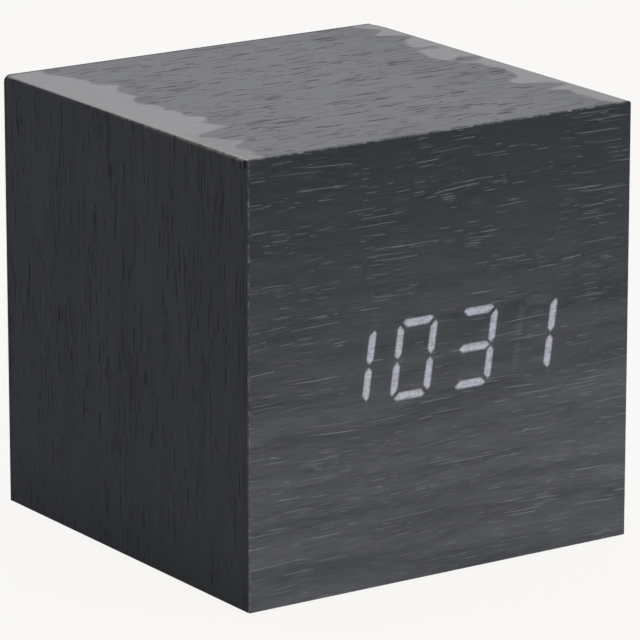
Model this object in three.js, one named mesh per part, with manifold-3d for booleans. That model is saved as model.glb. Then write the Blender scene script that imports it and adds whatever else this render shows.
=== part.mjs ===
// LED cube alarm clock: a veneered wooden cube whose lit digits shine through the front veneer.
// Millimetres. X runs to the right, Y to the back and Z up; the origin is on the table, under the middle.

import * as THREE from 'three';
import { mergeVertices } from 'three/addons/utils/BufferGeometryUtils.js';
import Module from 'manifold-3d';

const wasm = await Module();
wasm.setup();

// Overall size, over the button caps at the back and the feet below
const cubeWidth = 80;
const cubeDepth = 80;
const cubeHeight = 80;
const capRise = 0.8;
const footRise = 0.8;

// Cabinet: fibreboard walls under a decorative veneer
const boardThickness = 5.4;
const veneerThickness = 0.6;
const foldRadius = 0.45;
const mitreGlueLine = 0.1;
const cornerBlockWidth = 9;
const blockHeadroom = 1.15;

// Fits
const seatGap = 0.3;
const glueGap = 0.1;
const overrun = 1;
const weldTolerance = 1e-5;

// Display: slanted seven-segment digits in a light box, on a board as wide as the walls allow
const digitCount = 4;
const displayX = 0.3;
const displayRise = 0.3;
const displaySideRoom = 2.69;
const digitHeight = 14.3;
const digitSpacing = 4.34;
const segmentWidth = 1.5;
const segmentGap = 0.45;
const digitSlant = THREE.MathUtils.degToRad(8);
const tipShiftShare = 0.3;
const colonRadius = 0.9;
const wellTaperShare = 0.82;
const reflectorSideWall = 1.4;
const reflectorEndWall = 2.3;
const filmThickness = 0.2;
const circuitThickness = 1.6;
const displayFlange = 5.2;
const displayBoardMargin = 3.5;
const ledLength = 1.2;
const ledWidth = 0.6;
const ledHeight = 0.5;
const headerLength = 9;
const headerDepth = 2.4;
const headerHeight = 2.2;

// Rear controls, on the main board behind the rear wall
const boardStandoff = 6;
const mainBoardWidth = 54;
const mainBoardHeight = 33;
const mainBoardTopShare = 0.375;
const buttonRowRise = 8.5;
const buttonPitch = 12;
const lowerRowDrop = 7.5;
const switchWidth = 6;
const switchHeight = 3.4;
const plungerRadius = 1.75;
const plungerRise = 0.9;
const plungerBoreDepth = 1.9;
const buttonTravel = 0.5;
const capRadius = 2.5;
const capFlangeRadius = 3.9;
const capEdge = 0.35;
const slideSwitchX = 14;
const slideBodyLength = 8.6;
const slideBodyWidth = 4.4;
const slideBodyHeight = 4;
const slideSlotDepth = 1.4;
const slideStemLength = 2;
const slideStemWidth = 1.5;
const knobLength = 3;
const knobWidth = 2.4;
const knobBodyGap = 0.8;
const knobRise = 0.5;
const knobGrooveDepth = 0.4;
const knobGrooveWidth = 0.45;
const slideTravel = 2;
const socketX = -11;
const socketWidth = 7.8;
const socketThickness = 3.2;
const socketHeight = 7;
const socketWall = 0.4;
const socketDepth = 5;
const socketChamfer = 0.9;
const socketBaseLength = 9;
const socketBaseWidth = 4.8;
const socketBaseHeight = 1.4;
const tongueWidth = 4.8;
const tongueThickness = 0.7;
const tongueRecess = 0.7;
const pocketWidth = 13;
const pocketHeight = 9;
const pocketCornerRadius = 2;
const microphoneX = 2.5;
const microphoneRadius = 3;
const microphoneHeight = 2.7;
const microphonePortRadius = 0.6;
const microphonePortDepth = 0.5;
const soundHoleRadius = 1;
const spacerRadius = 3;
const boardScrewInset = 3.4;

// Main board, inner side
const buzzerRise = 5;
const buzzerRadius = 6;
const buzzerHeight = 8.5;
const buzzerPortRadius = 1;
const buzzerPortDepth = 1.5;
const backupCellRise = 2;
const backupCellRadius = 10;
const backupCellThickness = 3.2;
const cellHolderWall = 0.7;
const cellHolderFloor = 1;
const cellRimRadius = 8.6;
const cellRimStep = 0.4;
const chipX = 9;
const chipDrop = 8;
const chipLength = 9;
const chipWidth = 5.4;
const chipHeight = 1.6;
const crystalInset = 4.6;
const crystalRadius = 1;
const crystalLength = 6;
const headerRise = 3.5;
const ribbonX = -7;
const leadPadInset = 3.6;
const leadPadRise = 2.4;

// Screws
const screwShankRadius = 1.1;
const screwHeadRadius = 2.5;
const screwHeadHeight = 1.3;
const screwHeadEdge = 0.4;
const screwTip = 1;
const displayScrewBite = 3.6;
const boardScrewBite = 3.9;
const baseScrewLength = 9;

// Base: a moulded plate set into the open underside, with the battery well
const plateRecess = 1;
const plateThickness = 2;
const plateCornerRadius = 0.8;
const footRadius = 2.6;
const footEdge = 0.3;
const footInset = 5.8;
const baseScrewInset = 4.5;
const counterboreDepth = 0.9;
const wellWall = 1.2;
const dividerShare = 0.3;
const toeWidth = 5;
const toeReach = 1.6;
const toeThickness = 1.2;
const toeRoot = 1;
const toeSlotHeight = 3.2;
const latchWidth = 8;
const latchDepth = 1.4;
const latchHeight = 1.5;
const latchNib = 0.1;
const latchSlit = 0.7;
const latchSlitLength = 7;
const gripRidgeCount = 4;
const gripRidgePitch = 1.5;
const gripRidgeWidth = 0.6;
const gripRidgeRise = 0.35;

// Four AAA cells and their contacts
const cellCount = 4;
const cellDiameter = 10.5;
const cellLength = 44.5;
const cellSpacing = 0.6;
const cellNubRadius = 1.9;
const cellNubHeight = 1;
const cellShoulder = 0.5;
const cellDimpleRadius = 3.4;
const cellDimpleDepth = 0.3;
const contactThickness = 0.4;
const contactWidth = 7;
const contactHeight = 6.3;
const bumpHeight = 0.6;
const bumpRadius = 1.7;
const springLength = 3.5;
const springBaseRadius = 2.9;
const springTipRadius = 1.6;
const springTurns = 2;
const stepsPerTurn = 8;
const springSides = 5;
const springWireRadius = 0.25;
const springBend = 0.4;
const tabWidth = 3;
const tabRise = 2.2;

// Wires
const leadRadius = 0.7;
const leadSag = 2.8;
const leadSteps = 22;
const leadSides = 8;
const ribbonStrands = 6;
const ribbonStrandRadius = 0.55;
const ribbonSag = 9;
const ribbonSteps = 20;
const strandSides = 3;

// Facets round small and large round pieces
const smallSides = 12;
const roundSides = 16;
const largeSides = 32;
const cornerSteps = 3;

// The cabinet's faces, worked out from the overall size
const outerX = cubeWidth / 2;
const frontY = -cubeDepth / 2;
const capEndY = cubeDepth / 2;
const backY = capEndY - capRise;
const rimZ = footRise;
const topZ = cubeHeight;
const panelX = outerX - veneerThickness;
const innerX = panelX - boardThickness;
const panelFrontY = frontY + veneerThickness;
const innerFrontY = panelFrontY + boardThickness;
const panelBackY = backY - veneerThickness;
const innerBackY = panelBackY - boardThickness;
const panelTopZ = topZ - veneerThickness;
const innerTopZ = panelTopZ - boardThickness;
const baseMiddleY = (innerFrontY + innerBackY) / 2;
const innerHalfDepth = (innerBackY - innerFrontY) / 2;
const corners = [[-1, -1], [1, -1], [1, 1], [-1, 1]];

// The base plate, and the battery well on it, whose cellAxisZ and wellTopZ are above the plate's underside
const plateBottomZ = rimZ + plateRecess;
const plateTopZ = plateBottomZ + plateThickness;
const cellPitch = cellDiameter + cellSpacing;
const cellRadius = cellDiameter / 2;
const cellXs = Array.from({ length: cellCount }, (_, index) => (index - (cellCount - 1) / 2) * cellPitch);
const cellAxisZ = plateThickness + seatGap + cellRadius;
const contactRoom = seatGap + contactThickness;
const wellHalfWidth = cellPitch * (cellCount - 1) / 2 + cellRadius + cellSpacing;
const wellHalfLength = (cellLength + bumpHeight + springLength) / 2 + contactRoom + seatGap;
const wellTopZ = cellAxisZ + cellRadius + seatGap;
const tabTopZ = plateBottomZ + wellTopZ + wellWall + tabRise;

// The main board hangs between the battery's solder tabs and the top
const boardHeadroom = (innerTopZ - tabTopZ - mainBoardHeight) * mainBoardTopShare;
const mainBoardZ = innerTopZ - boardHeadroom - mainBoardHeight / 2;
const mainBoardBottomZ = mainBoardZ - mainBoardHeight / 2;
const mainBoardRearY = innerBackY - boardStandoff;
const mainBoardFrontY = mainBoardRearY - circuitThickness;
const buttonRowZ = mainBoardZ + buttonRowRise;
const lowerRowZ = mainBoardZ - lowerRowDrop;
const boardScrewX = mainBoardWidth / 2 - boardScrewInset;
const boardScrewLength = circuitThickness + boardStandoff + boardScrewBite;
const displayScrewLength = circuitThickness + displayScrewBite;

// Colour, roughness and metalness of each kind of material
const finishes = {
  veneer: { color: 0x3a3b3f, roughness: 0.6, metalness: 0 },
  fibreboard: { color: 0x8a6a4a, roughness: 0.9, metalness: 0 },
  block: { color: 0xb08a5c, roughness: 0.85, metalness: 0 },
  blackPlastic: { color: 0x1c1d1f, roughness: 0.5, metalness: 0 },
  capPlastic: { color: 0x24262a, roughness: 0.4, metalness: 0 },
  whitePlastic: { color: 0xe9e9ea, roughness: 0.5, metalness: 0 },
  film: { color: 0xd9dae2, roughness: 0.7, metalness: 0 },
  greenBoard: { color: 0x1f5a36, roughness: 0.45, metalness: 0 },
  steel: { color: 0xb4b6b8, roughness: 0.35, metalness: 1 },
  nickel: { color: 0xc9c6bb, roughness: 0.3, metalness: 1 },
  rubber: { color: 0x202022, roughness: 0.95, metalness: 0 },
  cellJacket: { color: 0x4a6b8a, roughness: 0.35, metalness: 0.2 },
  ribbon: { color: 0xa9abad, roughness: 0.6, metalness: 0 },
  redWire: { color: 0xb3201c, roughness: 0.5, metalness: 0 },
  blackWire: { color: 0x151515, roughness: 0.5, metalness: 0 },
};

const clock = new THREE.Group();
clock.name = 'led_cube_alarm_clock';

// Adds one named piece, with a material of its own, to a group
function addPiece(group, name, geometry, finish) {
  const mesh = new THREE.Mesh(geometry, new THREE.MeshStandardMaterial(finishes[finish]));
  mesh.name = name;
  group.add(mesh);
  return mesh;
}

// A group at a place, which carries the pieces built round its own origin
function groupAt(x, y, z) {
  const group = new THREE.Group();
  group.position.set(x, y, z);
  clock.add(group);
  return group;
}

// A closed geometry as a solid that can be cut and joined
function solidOf(geometry) {
  const bare = geometry.clone();
  bare.deleteAttribute('normal');
  bare.deleteAttribute('uv');
  const merged = mergeVertices(bare, weldTolerance);
  return new wasm.Manifold(new wasm.Mesh({
    numProp: 3,
    vertProperties: new Float32Array(merged.attributes.position.array),
    triVerts: new Uint32Array(merged.index.array),
  }));
}

// A solid's mesh as a geometry
function geometryOf(solid) {
  const mesh = solid.getMesh();
  const geometry = new THREE.BufferGeometry();
  geometry.setAttribute('position', new THREE.BufferAttribute(mesh.vertProperties, 3));
  geometry.setIndex(new THREE.BufferAttribute(mesh.triVerts, 1));
  geometry.computeVertexNormals();
  return geometry;
}

// The first geometry with the others joined to it
function join(...geometries) {
  return geometryOf(geometries.map(solidOf).reduce((whole, piece) => whole.add(piece)));
}

// A geometry with the tools cut out of it
function cut(body, tools) {
  return geometryOf(tools.map(solidOf).reduce((rest, tool) => rest.subtract(tool), solidOf(body)));
}

// A box from its lowest to its highest corner
function boxBetween(low, high) {
  const size = high.map((value, axis) => value - low[axis]);
  const geometry = new THREE.BoxGeometry(...size);
  return geometry.translate(...low.map((value, axis) => value + size[axis] / 2));
}

// A round rod along Y, from one depth to another
function rodAlongY(radius, fromY, toY, x = 0, z = 0, sides = roundSides) {
  const rod = new THREE.CylinderGeometry(radius, radius, toY - fromY, sides);
  return rod.translate(x, (fromY + toY) / 2, z);
}

// A round rod along Z, from one height to another
function rodAlongZ(radius, fromZ, toZ, x = 0, y = 0, sides = roundSides) {
  const rod = new THREE.CylinderGeometry(radius, radius, toZ - fromZ, sides).rotateX(Math.PI / 2);
  return rod.translate(x, y, (fromZ + toZ) / 2);
}

// A profile of radius and distance along Y, turned round the Y axis
function turned(profile, sides = roundSides) {
  return new THREE.LatheGeometry(profile.map(([radius, y]) => new THREE.Vector2(radius, y)), sides);
}

// An outline in X and Z, pushed from one depth to another
function extrudeInDepth(shape, fromY, toY) {
  const settings = { depth: toY - fromY, bevelEnabled: false, curveSegments: cornerSteps };
  return new THREE.ExtrudeGeometry(shape, settings).rotateX(Math.PI / 2).translate(0, toY, 0);
}

function polygon(points) {
  return new THREE.Shape(points.map(([x, z]) => new THREE.Vector2(x, z)));
}

// A rectangle with round corners, drawn as a shape or as a hole in one
function roundedRectangle(outline, centreX, centreZ, width, height, radius) {
  const right = centreX + width / 2;
  const left = centreX - width / 2;
  const top = centreZ + height / 2;
  const bottom = centreZ - height / 2;
  outline.moveTo(left + radius, bottom);
  outline.lineTo(right - radius, bottom);
  outline.quadraticCurveTo(right, bottom, right, bottom + radius);
  outline.lineTo(right, top - radius);
  outline.quadraticCurveTo(right, top, right - radius, top);
  outline.lineTo(left + radius, top);
  outline.quadraticCurveTo(left, top, left, top - radius);
  outline.lineTo(left, bottom + radius);
  outline.quadraticCurveTo(left, bottom, left + radius, bottom);
  return outline;
}

// A round hole of many-sided outline
function roundHole(centreX, centreZ, radius) {
  const points = Array.from({ length: roundSides }, (_, side) => {
    const angle = (side / roundSides) * Math.PI * 2;
    return new THREE.Vector2(centreX + radius * Math.cos(angle), centreZ + radius * Math.sin(angle));
  });
  return new THREE.Path(points);
}

function rectangleHole(centreX, centreZ, width, height) {
  const right = centreX + width / 2;
  const left = centreX - width / 2;
  const top = centreZ + height / 2;
  const bottom = centreZ - height / 2;
  return new THREE.Path([[left, bottom], [right, bottom], [right, top], [left, top]]
    .map(([x, z]) => new THREE.Vector2(x, z)));
}

// A pan-head screw along Y: the head is below zero and the pointed shank above it
function screw(length) {
  return turned([
    [0, -screwHeadHeight],
    [screwHeadRadius - screwHeadEdge, -screwHeadHeight],
    [screwHeadRadius, screwHeadEdge - screwHeadHeight],
    [screwHeadRadius, 0],
    [screwShankRadius, 0],
    [screwShankRadius, length - screwTip],
    [0, length],
  ], smallSides);
}

const screwBoreRadius = screwShankRadius + seatGap;

// Cabinet walls: the left, top and right panels are one board, grooved and folded into mitres
function sidePanel(side) {
  const outerTopZ = panelTopZ - mitreGlueLine;
  const mitreFootZ = innerTopZ - mitreGlueLine;
  return extrudeInDepth(polygon(side > 0
    ? [[innerX, rimZ], [panelX, rimZ], [panelX, outerTopZ], [innerX, mitreFootZ]]
    : [[-panelX, rimZ], [-innerX, rimZ], [-innerX, mitreFootZ], [-panelX, outerTopZ]],
  ), panelFrontY, panelBackY);
}

function topPanel() {
  return extrudeInDepth(polygon([
    [-innerX, innerTopZ],
    [innerX, innerTopZ],
    [panelX, panelTopZ],
    [-panelX, panelTopZ],
  ]), panelFrontY, panelBackY);
}

// The inset walls fill the frame of the folded board from rim to top
const insetMiddleZ = (rimZ + innerTopZ) / 2;

function insetWall() {
  return roundedRectangle(new THREE.Shape(), 0, insetMiddleZ, innerX * 2, innerTopZ - rimZ, 0);
}

// The display board lies across the front wall's window, and the digits fill the light box in that window
const displayZ = (rimZ + topZ) / 2 + displayRise;
const displayBoardHalfWidth = innerX - displaySideRoom;
const windowHalfWidth = displayBoardHalfWidth - displayFlange;
const displayScrewX = windowHalfWidth + (displayFlange - seatGap) / 2;
const reflectorHalfWidth = windowHalfWidth - seatGap;
const digitsHalfWidth = reflectorHalfWidth - reflectorSideWall;
const segmentRise = (digitHeight - segmentWidth) / 2;
const slantReach = Math.tan(digitSlant) * (digitHeight / 2);
const digitPitch = ((digitsHalfWidth - slantReach) * 2 + digitSpacing) / digitCount;
const digitSpan = digitPitch - digitSpacing - segmentWidth;
const reflectorHalfHeight = digitHeight / 2 + reflectorEndWall;
const windowHalfHeight = reflectorHalfHeight + seatGap;
const displayBoardHalfHeight = reflectorHalfHeight + displayBoardMargin;

function frontPanel() {
  const wall = insetWall();
  wall.holes.push(rectangleHole(displayX, displayZ, windowHalfWidth * 2, windowHalfHeight * 2));
  const pilots = [-1, 1].map((side) => rodAlongY(
    screwBoreRadius,
    innerFrontY - displayScrewBite - seatGap,
    innerFrontY + overrun,
    displayX + side * displayScrewX,
    displayZ,
    smallSides,
  ));
  return cut(extrudeInDepth(wall, panelFrontY, innerFrontY), pilots);
}

// Openings through the rear wall and its veneer, for the buttons, slide switch, sound and plug
const buttonXs = { set: buttonPitch, up: 0, down: -buttonPitch };
const slideSlotLength = knobLength + slideTravel + seatGap * 2;
const slideSlotWidth = knobWidth + seatGap * 2;

function rearOpenings() {
  return [
    ...Object.values(buttonXs).map((x) => roundHole(x, buttonRowZ, capRadius + seatGap)),
    rectangleHole(slideSwitchX, lowerRowZ, slideSlotLength, slideSlotWidth),
    roundHole(microphoneX, lowerRowZ, soundHoleRadius),
    roundedRectangle(new THREE.Path(), socketX, lowerRowZ, pocketWidth, pocketHeight, pocketCornerRadius),
  ];
}

function rearPanel() {
  const wall = insetWall();
  wall.holes.push(...rearOpenings());
  const pilots = [-1, 1].map((side) => rodAlongY(
    screwBoreRadius,
    innerBackY - overrun,
    innerBackY + boardScrewBite + seatGap,
    side * boardScrewX,
    mainBoardZ,
    smallSides,
  ));
  return cut(extrudeInDepth(wall, innerBackY, panelBackY), pilots);
}

// Veneers: one strip folded over left, top and right, and a flat leaf on the front and the back
function faceLeaf() {
  const leaf = new THREE.Shape();
  leaf.moveTo(-outerX, rimZ);
  leaf.lineTo(outerX, rimZ);
  leaf.lineTo(outerX, topZ - foldRadius);
  leaf.quadraticCurveTo(outerX, topZ, outerX - foldRadius, topZ);
  leaf.lineTo(foldRadius - outerX, topZ);
  leaf.quadraticCurveTo(-outerX, topZ, -outerX, topZ - foldRadius);
  return leaf;
}

function wrapVeneer() {
  const strip = faceLeaf();
  strip.lineTo(-outerX, rimZ);
  strip.lineTo(-panelX, rimZ);
  strip.lineTo(-panelX, panelTopZ);
  strip.lineTo(panelX, panelTopZ);
  strip.lineTo(panelX, rimZ);
  strip.lineTo(outerX, rimZ);
  const outline = new THREE.Shape(strip.getPoints(cornerSteps).slice(1));
  return extrudeInDepth(outline, panelFrontY, panelBackY);
}

function rearVeneer() {
  const leaf = faceLeaf();
  leaf.holes.push(...rearOpenings());
  return extrudeInDepth(leaf, panelBackY, backY);
}

const cabinet = groupAt(0, 0, 0);
addPiece(cabinet, 'front_panel', frontPanel(), 'fibreboard');
addPiece(cabinet, 'left_panel', sidePanel(-1), 'fibreboard');
addPiece(cabinet, 'right_panel', sidePanel(1), 'fibreboard');
addPiece(cabinet, 'top_panel', topPanel(), 'fibreboard');
addPiece(cabinet, 'rear_panel', rearPanel(), 'fibreboard');
addPiece(cabinet, 'front_veneer', extrudeInDepth(faceLeaf(), frontY, panelFrontY), 'veneer');
addPiece(cabinet, 'wrap_veneer', wrapVeneer(), 'veneer');
addPiece(cabinet, 'rear_veneer', rearVeneer(), 'veneer');

// Corner blocks, glued into the lower corners, take the screws of the base and keep clear of the battery well
const blockBottomZ = plateTopZ + seatGap;
const blockTopZ = displayZ - displayBoardHalfHeight - blockHeadroom;
const baseScrewX = innerX - baseScrewInset;
const baseScrewY = innerHalfDepth - baseScrewInset;
const baseScrewSeatZ = plateBottomZ + counterboreDepth - seatGap;

function cornerBlock([sideX, sideY]) {
  const edgesX = [sideX * innerX, sideX * (innerX - cornerBlockWidth)].sort((a, b) => a - b);
  const edgesY = [sideY * innerHalfDepth, sideY * (innerHalfDepth - cornerBlockWidth)].sort((a, b) => a - b);
  const block = boxBetween(
    [edgesX[0], baseMiddleY + edgesY[0], blockBottomZ],
    [edgesX[1], baseMiddleY + edgesY[1], blockTopZ],
  );
  const reliefX = wellHalfWidth + wellWall + seatGap;
  const reliefY = wellHalfLength + wellWall + seatGap;
  const relief = boxBetween(
    [-reliefX, baseMiddleY - reliefY, blockBottomZ - overrun],
    [reliefX, baseMiddleY + reliefY, blockTopZ + overrun],
  );
  const pilot = rodAlongZ(
    screwBoreRadius,
    blockBottomZ - overrun,
    baseScrewSeatZ + baseScrewLength + seatGap,
    sideX * baseScrewX,
    baseMiddleY + sideY * baseScrewY,
    smallSides,
  );
  return cut(block, [pilot, relief]);
}

corners.forEach((corner, index) => {
  addPiece(cabinet, `corner_block_${index + 1}`, cornerBlock(corner), 'block');
});

// Display segments: each is a six-sided outline whose tips lean to the digit's outer side
function segmentOutline(centre, along, halfLength, startTip, endTip) {
  const halfWidth = segmentWidth / 2;
  const across = [-along[1], along[0]];
  const places = [
    [-halfLength, startTip],
    [halfWidth + startTip - halfLength, -halfWidth],
    [halfLength - halfWidth - endTip, -halfWidth],
    [halfLength, endTip],
    [halfLength - halfWidth + endTip, halfWidth],
    [halfWidth - startTip - halfLength, halfWidth],
  ];
  return places.map(([forward, sideways]) => {
    const x = centre[0] + along[0] * forward + across[0] * sideways;
    const z = centre[1] + along[1] * forward + across[1] * sideways;
    return [x + z * Math.tan(digitSlant), z];
  });
}

// The seven segments of a digit, each with its outline and the place of its light
function digitSegments() {
  const half = digitSpan / 2;
  const flatHalf = half - segmentGap / 2;
  const uprightHalf = (segmentRise - segmentGap) / 2;
  const tip = tipShiftShare * segmentWidth / 2;
  const lean = Math.tan(digitSlant);
  const right = [1, 0];
  const up = [0, 1];
  const middle = segmentRise / 2;
  const rows = [
    [[0, segmentRise], right, flatHalf, tip, tip],
    [[0, 0], right, flatHalf, 0, 0],
    [[0, -segmentRise], right, flatHalf, -tip, -tip],
    [[-half, middle], up, uprightHalf, 0, tip],
    [[half, middle], up, uprightHalf, 0, -tip],
    [[-half, -middle], up, uprightHalf, tip, 0],
    [[half, -middle], up, uprightHalf, -tip, 0],
  ];
  return rows.map(([centre, along, halfLength, startTip, endTip]) => ({
    outline: segmentOutline(centre, along, halfLength, startTip, endTip),
    centre: [centre[0] + centre[1] * lean, centre[1]],
    along,
  }));
}

// The two dots between the hours and the minutes
function colonDots() {
  const lean = Math.tan(digitSlant);
  return [-1, 1].map((side) => {
    const centre = [side * lean * segmentRise / 2, side * segmentRise / 2];
    const outline = Array.from({ length: smallSides }, (_, corner) => {
      const angle = (corner / smallSides) * Math.PI * 2;
      return [centre[0] + colonRadius * Math.cos(angle), centre[1] + colonRadius * Math.sin(angle)];
    });
    return { outline, centre, along: [1, 0] };
  });
}

// Every light of the display, in the frame of the display's centre
function displayLights() {
  const digits = Array.from({ length: digitCount }, (_, digit) => {
    const shift = (digit - (digitCount - 1) / 2) * digitPitch;
    return digitSegments().map(({ outline, centre, along }) => ({
      outline: outline.map(([x, z]) => [x + shift, z]),
      centre: [centre[0] + shift, centre[1]],
      along,
    }));
  });
  return [...digits.flat(), ...colonDots()];
}

// A tapered well: the outline at the front, shrunk towards its centre at the back
function lightWell({ outline, centre }, wellFrontY, wellBackY) {
  const depth = wellBackY - wellFrontY;
  const ringAt = (y) => {
    const scale = 1 - (1 - wellTaperShare) * (y - wellFrontY) / depth;
    return outline.map(([x, z]) => [
      centre[0] + (x - centre[0]) * scale,
      y,
      centre[1] + (z - centre[1]) * scale,
    ]);
  };
  return loft([ringAt(wellFrontY - overrun), ringAt(wellBackY + overrun)]);
}

// A closed body through rings of points; its ends are flat, and each ring runs the same way round
function loft(rings) {
  const count = rings[0].length;
  const positions = rings.flat(2);
  const triangles = [];
  for (let ring = 0; ring < rings.length - 1; ring += 1) {
    for (let corner = 0; corner < count; corner += 1) {
      const next = (corner + 1) % count;
      const here = ring * count;
      const there = here + count;
      triangles.push(here + corner, there + corner, there + next);
      triangles.push(here + corner, there + next, here + next);
    }
  }
  const last = (rings.length - 1) * count;
  for (let corner = 1; corner < count - 1; corner += 1) {
    triangles.push(0, corner, corner + 1);
    triangles.push(last, last + corner + 1, last + corner);
  }
  const geometry = new THREE.BufferGeometry();
  geometry.setAttribute('position', new THREE.Float32BufferAttribute(positions, 3));
  geometry.setIndex(triangles);
  geometry.computeVertexNormals();
  return geometry;
}

// The light box stands between the display's circuit board and the film behind the front veneer
const filmBackY = panelFrontY + filmThickness;
const reflectorFrontY = filmBackY + glueGap;
const reflectorBackY = innerFrontY - glueGap;

function displayReflector() {
  const block = boxBetween(
    [-reflectorHalfWidth, reflectorFrontY, -reflectorHalfHeight],
    [reflectorHalfWidth, reflectorBackY, reflectorHalfHeight],
  );
  return cut(block, displayLights().map((light) => lightWell(light, reflectorFrontY, reflectorBackY)));
}

// A light-emitting chip, soldered on the circuit board at the bottom of its well
function ledChip({ centre, along }) {
  const halfX = (along[0] ? ledLength : ledWidth) / 2;
  const halfZ = (along[1] ? ledLength : ledWidth) / 2;
  return boxBetween(
    [centre[0] - halfX, innerFrontY - ledHeight, centre[1] - halfZ],
    [centre[0] + halfX, innerFrontY + circuitThickness / 2, centre[1] + halfZ],
  );
}

const displayBoardBackY = innerFrontY + circuitThickness;
const displayHeaderZ = displayBoardMargin - reflectorHalfHeight;

function displayBoard() {
  const board = boxBetween(
    [-displayBoardHalfWidth, innerFrontY, -displayBoardHalfHeight],
    [displayBoardHalfWidth, displayBoardBackY, displayBoardHalfHeight],
  );
  const bores = [-1, 1].map((side) => rodAlongY(
    screwBoreRadius,
    innerFrontY - overrun,
    displayBoardBackY + overrun,
    side * displayScrewX,
    0,
    smallSides,
  ));
  const headerX = ribbonX - displayX;
  const solderY = displayBoardBackY - circuitThickness / 2;
  const header = boxBetween(
    [headerX - headerLength / 2, solderY, displayHeaderZ - headerDepth / 2],
    [headerX + headerLength / 2, displayBoardBackY + headerHeight, displayHeaderZ + headerDepth / 2],
  );
  return join(cut(board, bores), header, ...displayLights().map(ledChip));
}

const display = groupAt(displayX, 0, displayZ);
addPiece(display, 'display_board', displayBoard(), 'greenBoard');
addPiece(display, 'display_reflector', displayReflector(), 'whitePlastic');
addPiece(display, 'diffuser_film', boxBetween(
  [-reflectorHalfWidth, panelFrontY, -reflectorHalfHeight],
  [reflectorHalfWidth, filmBackY, reflectorHalfHeight],
), 'film');
[-1, 1].forEach((side, index) => {
  const displayScrew = screw(displayScrewLength).rotateZ(Math.PI);
  const piece = addPiece(display, `display_screw_${index + 1}`, displayScrew, 'steel');
  piece.position.set(side * displayScrewX, displayBoardBackY + glueGap, 0);
});

// Main board: the parts that have no node of their own are soldered on as raised blocks
const headerZ = mainBoardBottomZ + headerRise;

function mainBoard() {
  const chipZ = mainBoardZ - chipDrop;
  const board = boxBetween(
    [-mainBoardWidth / 2, mainBoardFrontY, mainBoardBottomZ],
    [mainBoardWidth / 2, mainBoardRearY, mainBoardBottomZ + mainBoardHeight],
  );
  const bores = [-1, 1].map((side) => rodAlongY(
    screwBoreRadius,
    mainBoardFrontY - overrun,
    mainBoardRearY + overrun,
    side * boardScrewX,
    mainBoardZ,
    smallSides,
  ));
  const solderY = mainBoardFrontY + circuitThickness / 2;
  const chip = boxBetween(
    [chipX - chipLength / 2, mainBoardFrontY - chipHeight, chipZ - chipWidth / 2],
    [chipX + chipLength / 2, solderY, chipZ + chipWidth / 2],
  );
  const crystal = rodAlongZ(
    crystalRadius,
    chipZ - crystalLength / 2,
    chipZ + crystalLength / 2,
    boardScrewX - crystalInset,
    mainBoardFrontY - crystalRadius / 2,
    smallSides,
  );
  const header = boxBetween(
    [ribbonX - headerLength / 2, mainBoardFrontY - headerHeight, headerZ - headerDepth / 2],
    [ribbonX + headerLength / 2, solderY, headerZ + headerDepth / 2],
  );
  return join(cut(board, bores), chip, crystal, header);
}

// A spacer tube between the main board and the rear wall
function boardSpacer() {
  const start = glueGap;
  const end = boardStandoff - glueGap;
  return turned([
    [screwBoreRadius, start],
    [spacerRadius, start],
    [spacerRadius, end],
    [screwBoreRadius, end],
    [screwBoreRadius, start],
  ]);
}

const electronics = groupAt(0, 0, 0);
addPiece(electronics, 'main_board', mainBoard(), 'greenBoard');
[-1, 1].forEach((side, index) => {
  const spacer = addPiece(electronics, `board_spacer_${index + 1}`, boardSpacer(), 'whitePlastic');
  spacer.position.set(side * boardScrewX, mainBoardRearY, mainBoardZ);
  const boardScrew = addPiece(electronics, `board_screw_${index + 1}`, screw(boardScrewLength), 'steel');
  boardScrew.position.set(side * boardScrewX, mainBoardFrontY - glueGap, mainBoardZ);
});

// Push buttons: a switch housing, its plunger and the long cap that reaches through the rear wall
const plungerTop = switchHeight + plungerRise;
const capFlangeTop = boardStandoff - seatGap;
const capEnd = capEndY - mainBoardRearY;

function switchHousing() {
  const half = switchWidth / 2;
  const body = boxBetween([-half, 0, -half], [half, switchHeight, half]);
  const bore = rodAlongY(plungerRadius + seatGap, switchHeight - plungerBoreDepth, switchHeight + overrun);
  return cut(body, [bore]);
}

function plunger() {
  return rodAlongY(plungerRadius, switchHeight - plungerBoreDepth + buttonTravel + seatGap, plungerTop);
}

function buttonCap() {
  return turned([
    [0, plungerTop],
    [capFlangeRadius, plungerTop],
    [capFlangeRadius, capFlangeTop],
    [capRadius, capFlangeTop],
    [capRadius, capEnd - capEdge],
    [capRadius - capEdge, capEnd],
    [0, capEnd],
  ], roundSides);
}

Object.entries(buttonXs).forEach(([name, x]) => {
  const button = groupAt(x, mainBoardRearY, buttonRowZ);
  addPiece(button, `${name}_switch`, switchHousing(), 'blackPlastic');
  addPiece(button, `${name}_plunger`, plunger(), 'whitePlastic');
  addPiece(button, `${name}_button`, buttonCap(), 'capPlastic');
});

// Slide switch for the sound control, with its knob at one end of its travel
function slideSwitchBody() {
  const halfLength = slideBodyLength / 2;
  const halfWidth = slideBodyWidth / 2;
  const body = boxBetween([-halfLength, 0, -halfWidth], [halfLength, slideBodyHeight, halfWidth]);
  const slotHalfLength = (slideStemLength + slideTravel) / 2 + seatGap;
  const slotHalfWidth = slideStemWidth / 2 + seatGap;
  const slot = boxBetween(
    [-slotHalfLength, slideBodyHeight - slideSlotDepth, -slotHalfWidth],
    [slotHalfLength, slideBodyHeight + overrun, slotHalfWidth],
  );
  return cut(body, [slot]);
}

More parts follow.
